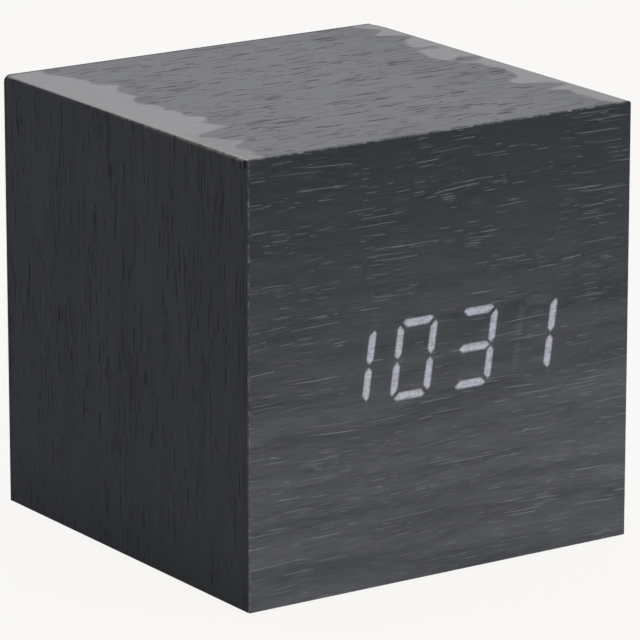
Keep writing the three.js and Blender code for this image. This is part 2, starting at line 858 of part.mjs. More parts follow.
function slideKnob() {
  const middleX = -slideTravel / 2;
  const end = backY + knobRise - mainBoardRearY;
  const shaftStart = slideBodyHeight + knobBodyGap;
  const stem = boxBetween(
    [middleX - slideStemLength / 2, slideBodyHeight - slideSlotDepth + seatGap, -slideStemWidth / 2],
    [middleX + slideStemLength / 2, shaftStart + overrun, slideStemWidth / 2],
  );
  const shaft = boxBetween(
    [middleX - knobLength / 2, shaftStart, -knobWidth / 2],
    [middleX + knobLength / 2, end, knobWidth / 2],
  );
  const grooves = [-1, 0, 1].map((place) => {
    const grooveX = middleX + place * knobGrooveWidth * 2;
    return boxBetween(
      [grooveX - knobGrooveWidth / 2, end - knobGrooveDepth, -knobWidth],
      [grooveX + knobGrooveWidth / 2, end + overrun, knobWidth],
    );
  });
  return cut(join(stem, shaft), grooves);
}

const soundControl = groupAt(slideSwitchX, mainBoardRearY, lowerRowZ);
addPiece(soundControl, 'sound_switch', slideSwitchBody(), 'steel');
addPiece(soundControl, 'sound_knob', slideKnob(), 'capPlastic');

// Power inlet: a small upright socket at the bottom of the plug's pocket
function socketOutline(inset) {
  const halfWidth = socketWidth / 2 - inset;
  const halfThickness = socketThickness / 2 - inset;
  return polygon([
    [socketChamfer - halfWidth, -halfThickness],
    [halfWidth - socketChamfer, -halfThickness],
    [halfWidth, socketChamfer - halfThickness],
    [halfWidth, halfThickness],
    [-halfWidth, halfThickness],
    [-halfWidth, socketChamfer - halfThickness],
  ]);
}

function powerSocket() {
  const shell = extrudeInDepth(socketOutline(0), 0, socketHeight);
  const base = boxBetween(
    [-socketBaseLength / 2, 0, -socketBaseWidth / 2],
    [socketBaseLength / 2, socketBaseHeight, socketBaseWidth / 2],
  );
  const mouth = extrudeInDepth(socketOutline(socketWall), socketHeight - socketDepth, socketHeight + overrun);
  const tongue = boxBetween(
    [-tongueWidth / 2, socketBaseHeight, -tongueThickness / 2],
    [tongueWidth / 2, socketHeight - tongueRecess, tongueThickness / 2],
  );
  return join(cut(join(shell, base), [mouth]), tongue);
}

addPiece(groupAt(socketX, mainBoardRearY, lowerRowZ), 'power_socket', powerSocket(), 'steel');

// Microphone behind the sound hole, which hears a clap and wakes the display
function microphone() {
  return turned([
    [0, 0],
    [microphoneRadius, 0],
    [microphoneRadius, microphoneHeight],
    [microphonePortRadius, microphoneHeight],
    [microphonePortRadius, microphoneHeight - microphonePortDepth],
    [0, microphoneHeight - microphonePortDepth],
  ]);
}

addPiece(groupAt(microphoneX, mainBoardRearY, lowerRowZ), 'microphone', microphone(), 'steel');

// Buzzer on the inner side of the main board, beside a screw's head, its port to the front
const buzzerReach = screwHeadRadius + buzzerRadius + seatGap;
const buzzerX = boardScrewX - Math.sqrt(buzzerReach ** 2 - buzzerRise ** 2);

function buzzer() {
  return turned([
    [0, buzzerPortDepth - buzzerHeight],
    [buzzerPortRadius, buzzerPortDepth - buzzerHeight],
    [buzzerPortRadius, -buzzerHeight],
    [buzzerRadius, -buzzerHeight],
    [buzzerRadius, 0],
    [0, 0],
  ], roundSides);
}

addPiece(groupAt(buzzerX, mainBoardFrontY, mainBoardZ + buzzerRise), 'buzzer', buzzer(), 'blackPlastic');

// Backup coin cell, beside the other screw's head, in a cup that is open to the front
const holderRadius = backupCellRadius + seatGap + cellHolderWall;
const holderReach = screwHeadRadius + holderRadius + seatGap;
const backupCellX = Math.sqrt(holderReach ** 2 - backupCellRise ** 2) - boardScrewX;

function backupHolder() {
  const innerRadius = backupCellRadius + seatGap;
  const rim = -(cellHolderFloor + seatGap + backupCellThickness);
  return turned([
    [0, -cellHolderFloor],
    [innerRadius, -cellHolderFloor],
    [innerRadius, rim],
    [holderRadius, rim],
    [holderRadius, 0],
    [0, 0],
  ], largeSides);
}

function backupCell() {
  const back = -(cellHolderFloor + seatGap);
  const front = back - backupCellThickness;
  return turned([
    [0, front],
    [cellRimRadius, front],
    [cellRimRadius, front + cellRimStep],
    [backupCellRadius, front + cellRimStep],
    [backupCellRadius, back],
    [0, back],
  ], largeSides);
}

const backup = groupAt(backupCellX, mainBoardFrontY, mainBoardZ + backupCellRise);
addPiece(backup, 'backup_cell_holder', backupHolder(), 'blackPlastic');
addPiece(backup, 'backup_cell', backupCell(), 'nickel');

// Battery well: its inside takes four cells side by side, with a contact at each end
const contactFaceY = wellHalfLength - contactRoom;
const doorHalfWidth = wellHalfWidth - seatGap;
const doorHalfLength = wellHalfLength - seatGap;
const toeXs = [-1, 1].map((side) => side * cellPitch);
const base = groupAt(0, baseMiddleY, plateBottomZ);

// Where a contact's solder tab passes the roof of the well
function tabSlot(x) {
  const halfWidth = tabWidth / 2 + seatGap;
  return boxBetween(
    [x - halfWidth, contactFaceY - seatGap, wellTopZ - overrun],
    [x + halfWidth, wellHalfLength + overrun * 2, wellTopZ + wellWall + overrun],
  );
}

// A rib between two cells hangs from the roof, as thick as the gap between their round sides allows
function cellDivider(x) {
  const depth = cellDiameter * dividerShare;
  const aboveAxis = cellRadius + seatGap - depth;
  const cellHalfThere = Math.sqrt(cellRadius ** 2 - aboveAxis ** 2);
  const halfThickness = cellPitch / 2 - cellHalfThere - seatGap;
  const halfLength = contactFaceY - seatGap;
  return boxBetween(
    [x - halfThickness, -halfLength, wellTopZ - depth],
    [x + halfThickness, halfLength, wellTopZ + wellWall / 2],
  );
}

function basePlate() {
  const outline = roundedRectangle(
    new THREE.Shape(),
    0,
    0,
    (innerX - seatGap) * 2,
    (innerHalfDepth - seatGap) * 2,
    plateCornerRadius,
  );
  const settings = { depth: plateThickness, bevelEnabled: false, curveSegments: cornerSteps };
  const plate = new THREE.ExtrudeGeometry(outline, settings);
  const wellOuter = boxBetween(
    [-wellHalfWidth - wellWall, -wellHalfLength - wellWall, plateThickness / 2],
    [wellHalfWidth + wellWall, wellHalfLength + wellWall, wellTopZ + wellWall],
  );
  const wellInner = boxBetween(
    [-wellHalfWidth, -wellHalfLength, -overrun],
    [wellHalfWidth, wellHalfLength, wellTopZ],
  );
  const toeSlots = toeXs.map((x) => boxBetween(
    [x - toeWidth / 2 - seatGap, -wellHalfLength - wellWall - overrun, plateThickness],
    [x + toeWidth / 2 + seatGap, -wellHalfLength + overrun, plateThickness + toeSlotHeight],
  ));
  const latchSlot = boxBetween(
    [-latchWidth / 2 - seatGap, wellHalfLength - overrun, plateThickness],
    [latchWidth / 2 + seatGap, wellHalfLength + wellWall + overrun, plateThickness + latchHeight + seatGap],
  );
  const screwHoles = corners.flatMap(([sideX, sideY]) => {
    const place = [sideX * baseScrewX, sideY * baseScrewY, smallSides];
    return [
      rodAlongZ(screwBoreRadius, -overrun, plateThickness + overrun, ...place),
      rodAlongZ(screwHeadRadius + seatGap, -overrun, counterboreDepth, ...place),
    ];
  });
  const hollow = cut(join(plate, wellOuter), [
    wellInner,
    ...toeSlots,
    latchSlot,
    tabSlot(cellXs[0]),
    tabSlot(cellXs[cellCount - 1]),
    ...screwHoles,
  ]);
  return join(hollow, ...cellXs.slice(1).map((x) => cellDivider(x - cellPitch / 2)));
}

// The door turns on its front edge: two toes reach over the plate, and a sprung tongue snaps in at the back
function batteryDoor() {
  const leaf = boxBetween(
    [-doorHalfWidth, -doorHalfLength, 0],
    [doorHalfWidth, doorHalfLength, plateThickness],
  );
  const toeBottomZ = plateThickness + seatGap;
  const toeTopZ = toeBottomZ + toeThickness;
  const toes = toeXs.flatMap((x) => [
    boxBetween(
      [x - toeWidth / 2, -doorHalfLength, plateThickness / 2],
      [x + toeWidth / 2, -doorHalfLength + toeRoot, toeTopZ],
    ),
    boxBetween(
      [x - toeWidth / 2, -doorHalfLength - toeReach, toeBottomZ],
      [x + toeWidth / 2, -doorHalfLength + toeRoot / 2, toeTopZ],
    ),
  ]);
  const latchRoot = boxBetween(
    [-latchWidth / 2, doorHalfLength - latchDepth, plateThickness / 2],
    [latchWidth / 2, doorHalfLength, plateThickness + latchHeight],
  );
  const nib = boxBetween(
    [-latchWidth / 2, doorHalfLength - latchDepth / 2, plateThickness + seatGap],
    [latchWidth / 2, doorHalfLength + latchNib, plateThickness + latchHeight],
  );
  const slits = [-1, 1].map((side) => {
    const middleX = side * (latchWidth + latchSlit) / 2;
    return boxBetween(
      [middleX - latchSlit / 2, doorHalfLength - latchSlitLength, -overrun],
      [middleX + latchSlit / 2, doorHalfLength + overrun, plateThickness + latchHeight + overrun],
    );
  });
  const ridges = Array.from({ length: gripRidgeCount }, (_, index) => {
    const ridgeY = doorHalfLength - latchDepth - index * gripRidgePitch;
    return boxBetween(
      [-latchWidth / 2, ridgeY - gripRidgeWidth / 2, -gripRidgeRise],
      [latchWidth / 2, ridgeY + gripRidgeWidth / 2, plateThickness / 2],
    );
  });
  return cut(join(leaf, ...toes, latchRoot, nib, ...ridges), slits);
}

addPiece(base, 'base_plate', basePlate(), 'blackPlastic');
addPiece(base, 'battery_door', batteryDoor(), 'blackPlastic');
corners.forEach(([sideX, sideY], index) => {
  const upright = screw(baseScrewLength).rotateX(Math.PI / 2);
  const baseScrew = addPiece(base, `base_screw_${index + 1}`, upright, 'steel');
  baseScrew.position.set(sideX * baseScrewX, sideY * baseScrewY, counterboreDepth - seatGap);
});

// Feet: rubber discs glued under the corners of the rim, far enough in to stay out of sight
function foot() {
  const top = footRise - glueGap;
  return turned([
    [0, 0],
    [footRadius - footEdge, 0],
    [footRadius, footEdge],
    [footRadius, top],
    [0, top],
  ]).rotateX(Math.PI / 2);
}

corners.forEach(([sideX, sideY], index) => {
  const footX = sideX * (outerX - footInset);
  const footY = sideY > 0 ? backY - footInset : frontY + footInset;
  addPiece(cabinet, `foot_${index + 1}`, foot(), 'rubber').position.set(footX, footY, 0);
});

// Cells lie head to tail; the first has its spring end to the back
const springEnd = contactRoom + springLength + seatGap;
const bumpEnd = contactRoom + bumpHeight + seatGap;
const cellMiddleY = (springEnd - bumpEnd) / 2;

function batteryCell() {
  const end = cellLength / 2;
  const shoulderEnd = end - cellNubHeight;
  return turned([
    [0, cellDimpleDepth - end],
    [cellDimpleRadius, cellDimpleDepth - end],
    [cellDimpleRadius, -end],
    [cellRadius - cellShoulder, -end],
    [cellRadius, cellShoulder - end],
    [cellRadius, shoulderEnd - cellShoulder],
    [cellRadius - cellShoulder, shoulderEnd],
    [cellNubRadius, shoulderEnd],
    [cellNubRadius, end],
    [0, end],
  ]);
}

cellXs.forEach((x, index) => {
  const nubToFront = index % 2 === 0;
  const cell = batteryCell();
  if (nubToFront) {
    cell.rotateZ(Math.PI);
  }
  const piece = addPiece(base, `battery_${index + 1}`, cell, 'cellJacket');
  piece.position.set(x, nubToFront ? -cellMiddleY : cellMiddleY, cellAxisZ);
});

// The centre line of a contact's conical spring, which leaves its plate squarely and ends squarely
function springLine() {
  const steps = springTurns * stepsPerTurn;
  const straight = springWireRadius * 2;
  const rise = springLength - straight * 2 - springBend * 2;
  const points = [
    [springBaseRadius, 0, 0],
    [springBaseRadius, straight, 0],
  ];
  for (let step = 0; step <= steps; step += 1) {
    const share = step / steps;
    const angle = (step / stepsPerTurn) * Math.PI * 2;
    const radius = springBaseRadius + (springTipRadius - springBaseRadius) * share;
    points.push([radius * Math.cos(angle), straight + springBend + rise * share, radius * Math.sin(angle)]);
  }
  points.push([springTipRadius, springLength - straight, 0]);
  points.push([springTipRadius, springLength, 0]);
  return points.map((point) => new THREE.Vector3(...point));
}

// The least distance between two turns' surfaces, measured on the centre line's points
function leastTurnGap(points) {
  let least = Infinity;
  points.forEach((point, index) => {
    points.slice(index + stepsPerTurn / 2).forEach((other) => {
      least = Math.min(least, point.distanceTo(other) - springWireRadius * 2);
    });
  });
  return least;
}

// A tube along points, its section carried from each point to the next without twist
function tubeAlong(points, radius, sides) {
  let across = null;
  const rings = points.map((point, index) => {
    const before = points[Math.max(index - 1, 0)];
    const after = points[Math.min(index + 1, points.length - 1)];
    const ahead = after.clone().sub(before).normalize();
    const seed = across ?? new THREE.Vector3(1, 0, 0);
    across = seed.clone().addScaledVector(ahead, -seed.dot(ahead)).normalize();
    const upward = ahead.clone().cross(across);
    return Array.from({ length: sides }, (_, side) => {
      const angle = (side / sides) * Math.PI * 2;
      const corner = point.clone()
        .addScaledVector(across, radius * Math.cos(angle))
        .addScaledVector(upward, radius * Math.sin(angle));
      return corner.toArray();
    });
  });
  return loft(rings.reverse());
}

const springPoints = springLine();
console.log(`least gap between the turns of a contact spring: ${leastTurnGap(springPoints).toFixed(2)} mm`);

function contactPlate(fromX, toX, tabX) {
  const half = contactHeight / 2;
  const plate = boxBetween([fromX, 0, -half], [toX, contactThickness, half]);
  if (tabX === undefined) {
    return plate;
  }
  const tabTop = tabTopZ - plateBottomZ - cellAxisZ;
  const tab = boxBetween([tabX - tabWidth / 2, 0, 0], [tabX + tabWidth / 2, contactThickness, tabTop]);
  return join(plate, tab);
}

function contactBump(x) {
  const height = bumpHeight + contactThickness / 2;
  const bump = new THREE.CylinderGeometry(bumpRadius, bumpRadius / 2, height, smallSides);
  return bump.translate(x, (contactThickness / 2 - bumpHeight) / 2, 0);
}

function contactSpring(x) {
  const rooted = springPoints.map((point) => new THREE.Vector3(point.x, -point.y, point.z));
  rooted[0].y = contactThickness / 2;
  return tubeAlong(rooted, springWireRadius, springSides).translate(x, 0, 0);
}

// Contacts are drawn for the back of the well, where the spring and the bump point to the front
function contact(name, places, end) {
  const xs = places.map(({ x }) => x);
  const left = Math.min(...xs) - contactWidth / 2;
  const right = Math.max(...xs) + contactWidth / 2;
  const plate = contactPlate(left, right, places.length === 1 ? xs[0] : undefined);
  const fittings = places.map(({ x, spring }) => (spring ? contactSpring(x) : contactBump(x)));
  const piece = join(plate, ...fittings);
  if (end < 0) {
    piece.rotateZ(Math.PI);
  }
  addPiece(base, name, piece, 'nickel').position.set(0, end * contactFaceY, cellAxisZ);
}

const [cell1, cell2, cell3, cell4] = cellXs;
contact('contact_negative', [{ x: cell1, spring: true }], 1);
contact('contact_link_1', [{ x: -cell1, spring: false }, { x: -cell2, spring: true }], -1);
contact('contact_link_2', [{ x: cell2, spring: false }, { x: cell3, spring: true }], 1);
contact('contact_link_3', [{ x: -cell3, spring: false }, { x: -cell4, spring: true }], -1);
contact('contact_positive', [{ x: cell4, spring: false }], 1);

// Battery leads run from the solder tabs, up behind the well and onto the main board
function batteryLead(side) {
  const tabX = side * Math.abs(cell1);
  const padX = side * (boardScrewX - leadPadInset);
  const startY = baseMiddleY + contactFaceY + contactThickness / 2;
  const startZ = tabTopZ + seatGap;
  const endY = mainBoardFrontY - seatGap;
  const endZ = mainBoardBottomZ + leadPadRise;
  const route = new THREE.CatmullRomCurve3([
    new THREE.Vector3(tabX, startY, startZ),
    new THREE.Vector3(tabX, startY, startZ + leadSag),
    new THREE.Vector3((tabX + padX) / 2, startY - leadSag, (startZ + endZ) / 2),
    new THREE.Vector3(padX, endY - leadSag, endZ),
    new THREE.Vector3(padX, endY, endZ),
  ]);
  const section = polygon(Array.from({ length: leadSides }, (_, corner) => {
    const angle = (corner / leadSides) * Math.PI * 2;
    return [leadRadius * Math.cos(angle), leadRadius * Math.sin(angle)];
  }));
  return new THREE.ExtrudeGeometry(section, { steps: leadSteps, extrudePath: route });
}

addPiece(electronics, 'battery_lead_red', batteryLead(1), 'redWire');
addPiece(electronics, 'battery_lead_black', batteryLead(-1), 'blackWire');

// Ribbon cable between the two headers: a row of round strands side by side, bent in one plane
function ribbonSection() {
  const points = [];
  const pitch = ribbonStrandRadius * 2 * Math.cos(Math.PI / (strandSides * 2));
  const first = -pitch * (ribbonStrands - 1) / 2;
  [0, 1].forEach((flank) => {
    for (let strand = 0; strand < ribbonStrands; strand += 1) {
      const order = flank === 0 ? strand : ribbonStrands - 1 - strand;
      for (let corner = 0; corner < strandSides; corner += 1) {
        const turn = (corner + 1 / 2) / strandSides;
        const angle = Math.PI * (flank + turn);
        const along = first + order * pitch - ribbonStrandRadius * Math.cos(angle);
        points.push([along, ribbonStrandRadius * Math.sin(angle)]);
      }
    }
  });
  return polygon(points);
}

function ribbonCable() {
  const startY = displayBoardBackY + headerHeight + seatGap;
  const endY = mainBoardFrontY - headerHeight - seatGap;
  const startZ = displayZ + displayHeaderZ;
  const span = endY - startY;
  const route = new THREE.CatmullRomCurve3([
    new THREE.Vector3(ribbonX, startY, startZ),
    new THREE.Vector3(ribbonX, startY + headerHeight, startZ),
    new THREE.Vector3(ribbonX, startY + span / 3, startZ - ribbonSag),
    new THREE.Vector3(ribbonX, endY - span / 3, headerZ - ribbonSag),
    new THREE.Vector3(ribbonX, endY - headerHeight, headerZ),
    new THREE.Vector3(ribbonX, endY, headerZ),
  ]);
  return new THREE.ExtrudeGeometry(ribbonSection(), { steps: ribbonSteps, extrudePath: route });
}

addPiece(electronics, 'ribbon_cable', ribbonCable(), 'ribbon');

export default clock;
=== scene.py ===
import math

import bmesh
import bpy
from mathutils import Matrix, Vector


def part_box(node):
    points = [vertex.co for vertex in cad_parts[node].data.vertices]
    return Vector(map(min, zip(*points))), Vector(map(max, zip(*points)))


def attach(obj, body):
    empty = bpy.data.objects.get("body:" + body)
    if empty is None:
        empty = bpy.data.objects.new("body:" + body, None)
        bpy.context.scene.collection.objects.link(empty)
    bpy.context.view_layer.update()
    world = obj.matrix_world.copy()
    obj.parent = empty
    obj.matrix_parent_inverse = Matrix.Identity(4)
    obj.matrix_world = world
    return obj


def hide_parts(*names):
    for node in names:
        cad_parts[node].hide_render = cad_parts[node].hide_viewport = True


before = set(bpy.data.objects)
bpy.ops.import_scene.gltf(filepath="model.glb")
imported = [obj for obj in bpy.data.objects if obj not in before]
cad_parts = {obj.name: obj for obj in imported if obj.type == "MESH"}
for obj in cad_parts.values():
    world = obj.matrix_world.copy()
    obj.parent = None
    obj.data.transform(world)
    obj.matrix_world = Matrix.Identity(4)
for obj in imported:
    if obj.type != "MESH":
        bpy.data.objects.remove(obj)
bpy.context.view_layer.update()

# Camera and surroundings: a product photograph of the clock on a plain pale table, seen from the front left
# and a little above with a long lens. The view was solved from the cube's corners.
MM = 0.001
CAMERA_AZIMUTH = math.radians(-34.079)
CAMERA_ELEVATION = math.radians(15.196)
CAMERA_PLACE = (-0.5054, -0.7493, 0.2830)
CAMERA_LENS = 295.27
CAMERA_NEAREST = 0.01
PALE = (0.942, 0.927, 0.911, 1)
PALE_IN_GLOSS = (0.86, 0.905, 0.96, 1)
TABLE_COLOUR = (0.8, 0.8, 0.79, 1)
TABLE_SIZE = 3.0
TABLE_PALENESS = 0.98
ROOM_GLOW = 0.30
# Each lamp's name, place, size and power, and whether it shows in a gloss.
LAMPS = (
    ("window", (0.35, -0.75, 0.6), 0.7, 16.0, False),
    ("overhead", (0.1, 0.35, 1.0), 0.9, 14.0, True),
)
# The Mix node's sockets when it mixes colours.
MIX_SHARE, MIX_FIRST, MIX_SECOND, MIX_RESULT = 0, 6, 7, 2


def arithmetic(operation, swapped=False):
    """A method that adds one Math node."""
    def reckon(reading, *other):
        return calc(operation, *((*other, reading) if swapped else (reading, *other)))
    return reckon


class Reading:
    """What a node works out at each point of a surface; arithmetic with it adds nodes to the node's tree."""

    def __init__(self, socket):
        self.socket = socket

    __add__ = __radd__ = arithmetic("ADD")
    __mul__ = __rmul__ = arithmetic("MULTIPLY")
    __sub__ = arithmetic("SUBTRACT")
    __rsub__ = arithmetic("SUBTRACT", swapped=True)
    __truediv__ = arithmetic("DIVIDE")
    __rtruediv__ = arithmetic("DIVIDE", swapped=True)
    __pow__ = arithmetic("POWER")
    __lt__ = arithmetic("LESS_THAN")
    __gt__ = arithmetic("GREATER_THAN")
    __abs__ = arithmetic("ABSOLUTE")


def tree_of(*values):
    """The node tree that the first reading among the values comes from."""
    return next(value.socket.id_data for value in values if isinstance(value, Reading))


def feed(socket, value):
    """Gives a node's input a value, or a link from where the value is worked out."""
    source = value.socket if isinstance(value, Reading) else value
    if isinstance(source, bpy.types.NodeSocket):
        socket.id_data.links.new(source, socket)
    else:
        socket.default_value = source


def set_up(thing, **settings):
    for name, value in settings.items():
        setattr(thing, name, value)
    return thing


def node(tree, kind, inputs=None, family="ShaderNode", **settings):
    """Adds one node with its settings and its inputs."""
    made = set_up(tree.nodes.new(family + kind), **settings)
    for name, value in (inputs or {}).items():
        feed(made.inputs[name], value)
    return made


def read(made, output=0):
    return Reading(made.outputs[output])


def calc(operation, *values):
    """One step of arithmetic."""
    return read(node(tree_of(*values), "Math", dict(enumerate(values)), operation=operation))


def highest(first, second):
    return calc("MAXIMUM", first, second)


def mix(share, first, second, blend="MIX"):
    """A colour between two colours, or one colour dyed with another."""
    parts = {MIX_SHARE: share, MIX_FIRST: first, MIX_SECOND: second}
    made = node(tree_of(share, first, second), "Mix", parts, data_type="RGBA", blend_type=blend)
    return read(made, MIX_RESULT)


def new_object(name, data):
    made = bpy.data.objects.new(name, data)
    bpy.context.scene.collection.objects.link(made)
    return made


def aimed(name, data, place, back):
    """Puts a new camera or lamp at a place, looking along -back."""
    made = new_object(name, data)
    made.location = place
    made.rotation_euler = (-back).to_track_quat("-Z", "Y").to_euler()
    return made


def make_camera():
    camera = set_up(bpy.data.cameras.new("camera"), lens=CAMERA_LENS, clip_start=CAMERA_NEAREST)
    level = math.cos(CAMERA_ELEVATION)
    back = Vector((
        math.sin(CAMERA_AZIMUTH) * level, -math.cos(CAMERA_AZIMUTH) * level, math.sin(CAMERA_ELEVATION)))
    bpy.context.scene.camera = aimed("camera", camera, CAMERA_PLACE, back)


def make_lamp(name, place, size, power, mirrored):
    """A square soft box that faces the clock."""
    light = set_up(bpy.data.lights.new(name, "AREA"), size=size, energy=power)
    aimed(name, light, place, Vector(place)).visible_glossy = mirrored


def pale_where_seen(tree, output, kind, paleness, lit):
    """Lets the camera, a gloss or a pane of glass see a plain pale colour in place of the lit one."""
    path = node(tree, "LightPath")
    in_gloss = read(path, "Is Glossy Ray")
    seen = highest(highest(read(path, "Is Camera Ray"), in_gloss), read(path, "Is Transmission Ray"))
    pale = node(tree, kind, {"Color": mix(in_gloss, PALE, PALE_IN_GLOSS), "Strength": 1.0})
    both = node(tree, "MixShader", {0: seen * paleness, 1: lit.outputs[0], 2: pale.outputs[0]})
    node(tree, output, {"Surface": both.outputs[0]})


def emptied(thing):
    """The node tree of a new world or material, with nothing in it."""
    thing.use_nodes = True
    thing.node_tree.nodes.clear()
    return thing.node_tree


def make_world():
    world = bpy.data.worlds.new("studio")
    tree = emptied(world)
    glow = node(tree, "Background", {"Color": PALE, "Strength": ROOM_GLOW})
    pale_where_seen(tree, "OutputWorld", "Background", 1.0, glow)
    bpy.context.scene.world = world


def make_table():
    """The table looks as pale as the backdrop, and still darkens where the clock keeps the light off it."""
    bpy.ops.mesh.primitive_plane_add(size=TABLE_SIZE)
    table = bpy.context.object
    table.name = "table"
    material = bpy.data.materials.new("pale_table")
    tree = emptied(material)
    matt = node(tree, "BsdfDiffuse", {"Color": TABLE_COLOUR})
    pale_where_seen(tree, "OutputMaterial", "Emission", TABLE_PALENESS, matt)
    table.data.materials.append(material)


make_camera()
for lamp in LAMPS:
    make_lamp(*lamp)
make_world()
make_table()
bpy.context.scene.view_settings.view_transform = "Standard"

# Cabinet boards: sawn fibreboard. The left, top and right ones are one board grooved and folded into mitres,
# with the front and rear ones set in and glued. Only their raw lower edges show, painted dark round the rim.
FIBRE_BROWN = (0.235, 0.165, 0.105, 1)
FIBRE_DARK = (0.14, 0.095, 0.06, 1)
RIM_PAINT = (0.018, 0.018, 0.02, 1)
RIM_PAINT_SPAN = (1.8, 1.4)


def give(sockets, **values):
    """Feeds several inputs by their labels; an underscore stands for a space."""
    for label, value in values.items():
        feed(sockets[label.replace("_", " ")], value)


def spread(value, low, high, to_low=0.0, to_high=1.0, smooth=False):
    """Carries a value from one range to another, and keeps it inside."""
    parts = dict(enumerate((value, low, high, to_low, to_high)))
    return read(node(tree_of(value), "MapRange", parts,
                     interpolation_type="SMOOTHSTEP" if smooth else "LINEAR"))


def noise(place, size, detail=2.0, roughness=0.5, flat=False):
    """Soft random spots of about the given size in millimetres, from 0 to 1."""
    parts = {"Vector": place, "Scale": 1 / size, "Detail": detail, "Roughness": roughness}
    return read(node(tree_of(place), "TexNoise", parts, noise_dimensions="2D" if flat else "3D"))


def scaled(place, scale):
    return read(node(tree_of(place), "VectorMath", {0: place, "Scale": scale}, operation="SCALE"))


def parts_of(place):
    """The three parts of a vector or a colour."""
    return [Reading(part) for part in node(tree_of(place), "SeparateXYZ", {0: place}).outputs]


def bump(height, strength, depth):
    """A surface normal that follows a height; depth is in millimetres."""
    parts = {"Strength": strength, "Distance": depth * MM, "Height": height}
    return read(node(tree_of(height), "Bump", parts))


def new_material(name, gloss=0.5, **fixed):
    """A material of one Principled shader, with what stays the same all over its surface set on its sockets.

    Also gives the shader's sockets, and each point's place in millimetres, whole and as its three parts.
    """
    material = bpy.data.materials.new(name)
    material.use_nodes = True
    shader = material.node_tree.nodes["Principled BSDF"].inputs
    give(shader, Specular_IOR_Level=gloss, **fixed)
    place = scaled(read(node(material.node_tree, "TexCoord"), "Object"), 1 / MM)
    return material, shader, place, parts_of(place)


def dress(material, *pieces):
    """Gives pieces, or the model's own nodes by their names, one material all over."""
    for piece in pieces:
        shape = (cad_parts[piece] if isinstance(piece, str) else piece).data
        shape.materials.clear()
        shape.materials.append(material)


def fibreboard():
    material, shader, place, (_, _, z) = new_material("fibreboard", 0.2)
    chips = noise(place, 0.5, 4.0, 0.7)
    raw = mix(spread(chips, 0.35, 0.7), FIBRE_DARK, FIBRE_BROWN)
    layered = mix(spread(noise(place, 6.0), 0.4, 0.8, 0.0, 0.35), raw, FIBRE_DARK)
    ragged = z + spread(chips, 0.0, 1.0, -0.5, 0.5)
    painted = mix(spread(ragged, *RIM_PAINT_SPAN), layered, RIM_PAINT)
    give(shader, Base_Color=painted, Roughness=spread(chips, 0.3, 0.7, 0.75, 0.95),
         Normal=bump(chips, 0.5, 0.15))
    return material


dress(fibreboard(), "front_panel", "left_panel", "right_panel", "top_panel", "rear_panel")

# Front veneer: a flat leaf of charcoal-stained oak pattern with its grain across, glued over the front wall.
# It is thin enough for the display to shine through, so the lit time is light in the leaf and not a piece.
FRONT_DARK = (0.0215, 0.0228, 0.0258, 1)
FRONT_LIGHT = (0.0540, 0.0555, 0.0600, 1)
# Painted shade: the front is painted darker towards its top, in place of the table's light on its lower part.
FRONT_TOP_SHADE = (0.29, 0.32, 0.35, 1)
FRONT_SEED = 1.0
PORE_LIGHT = (0.150, 0.156, 0.170, 1)
# A lighter tone for a broken line along the leaf's edges.
EDGE_LINE_TONE = (0.110, 0.108, 0.108, 1)
UNSHADED = (1, 1, 1, 1)
UNLIT = (0, 0, 0, 1)
LIT_COLOUR = (0.375, 0.375, 0.430, 1)
FRONT_GLOSS = 0.16
PAINTED_SHADE_SPAN = (84.0, 10.0)
PAINTED_SHADE_WANDER = 14.0
DARK_BAND_Z = 42.0
DARK_BAND_SPAN = (13.0, 4.0)
DARK_BAND_DEPTH = -0.12
GLOW_SHARE = 0.012
UNLIT_GLOW_SHARE = 0.026
# The pattern's sizes along and across the grain, in millimetres, and how far its waves push its lines.
SLOW_WAVE, SLOW_PUSH = (34.0, 12.0), 1.7
QUICK_WAVE, QUICK_PUSH = (7.0, 5.0), 0.18
CLUSTER_SIZES = (16.0, 4.0)
FIBRE_SIZES = (5.0, 0.22)
BAND_SIZES = (55.0, 4.5)
SEED_STEP = 311.0
# Each kind of pore's length, the size of the squares it is scattered on, its share of them and its seed.
LONG_PORES = (7.2, (15.0, 0.7), 0.30, 3.7)
SHORT_PORES = (2.2, (5.0, 0.42), 0.22, 19.3)
SHORT_PORE_STRENGTH = 0.75
HAIR_SHARE = 0.22
PORE_WIDTH = 0.09
PORE_TAPER = 4.0
PORE_SOFTNESS = 0.05
EDGE_RADIUS = 0.18 * MM
FOLD_RADIUS = 0.45 * MM
SHARP = math.radians(30)
ARC_STEPS = 10
DISPLAY_X = 0.3
DISPLAY_Z = 40.7
DIGIT_PITCH = 12.79
DIGIT_SPAN = 6.95
SEGMENT_WIDTH = 1.5
SEGMENT_RISE = 6.4
SEGMENT_GAP = 0.45
SEGMENT_ROUNDING = 0.35
SLANT = math.tan(math.radians(8))
TIP_SHIFT = 0.225
# How far outside a segment its light, the glow round it and the faint painted glow of an unlit segment set
# in, and where each is full.
LIT_EDGE = (0.16, -0.34)
GLOW_EDGE = (1.3, 0.0)
UNLIT_EDGE = (0.15, -0.25)
FAR_AWAY = 99.0


def lowest(first, second):
    return calc("MINIMUM", first, second)


def new_group(name, takes, gives, family="ShaderNodeTree"):
    """An empty node group: its tree, the readings that come in, and the sockets that they leave by.

    Its sockets are named in words, where an underscore stands for a space; a word without a kind is a Float.
    """
    group = bpy.data.node_groups.new(name, family)
    for words, way in ((takes, "INPUT"), (gives, "OUTPUT")):
        for word in words.split():
            label, _, kind = word.replace("_", " ").partition(":")
            group.interface.new_socket(name=label, in_out=way, socket_type="NodeSocket" + (kind or "Float"))
    come_in, leave = group.nodes.new("NodeGroupInput"), group.nodes.new("NodeGroupOutput")
    return group, {socket.name: Reading(socket) for socket in come_in.outputs}, leave.inputs


def use_group(group, **inputs):
    """Places a group in the tree that its inputs come from; it gives its outputs by their names."""
    placed = node(tree_of(*inputs.values()), "Group", node_tree=group)
    give(placed.inputs, **inputs)
    return {socket.name: Reading(socket) for socket in placed.outputs}


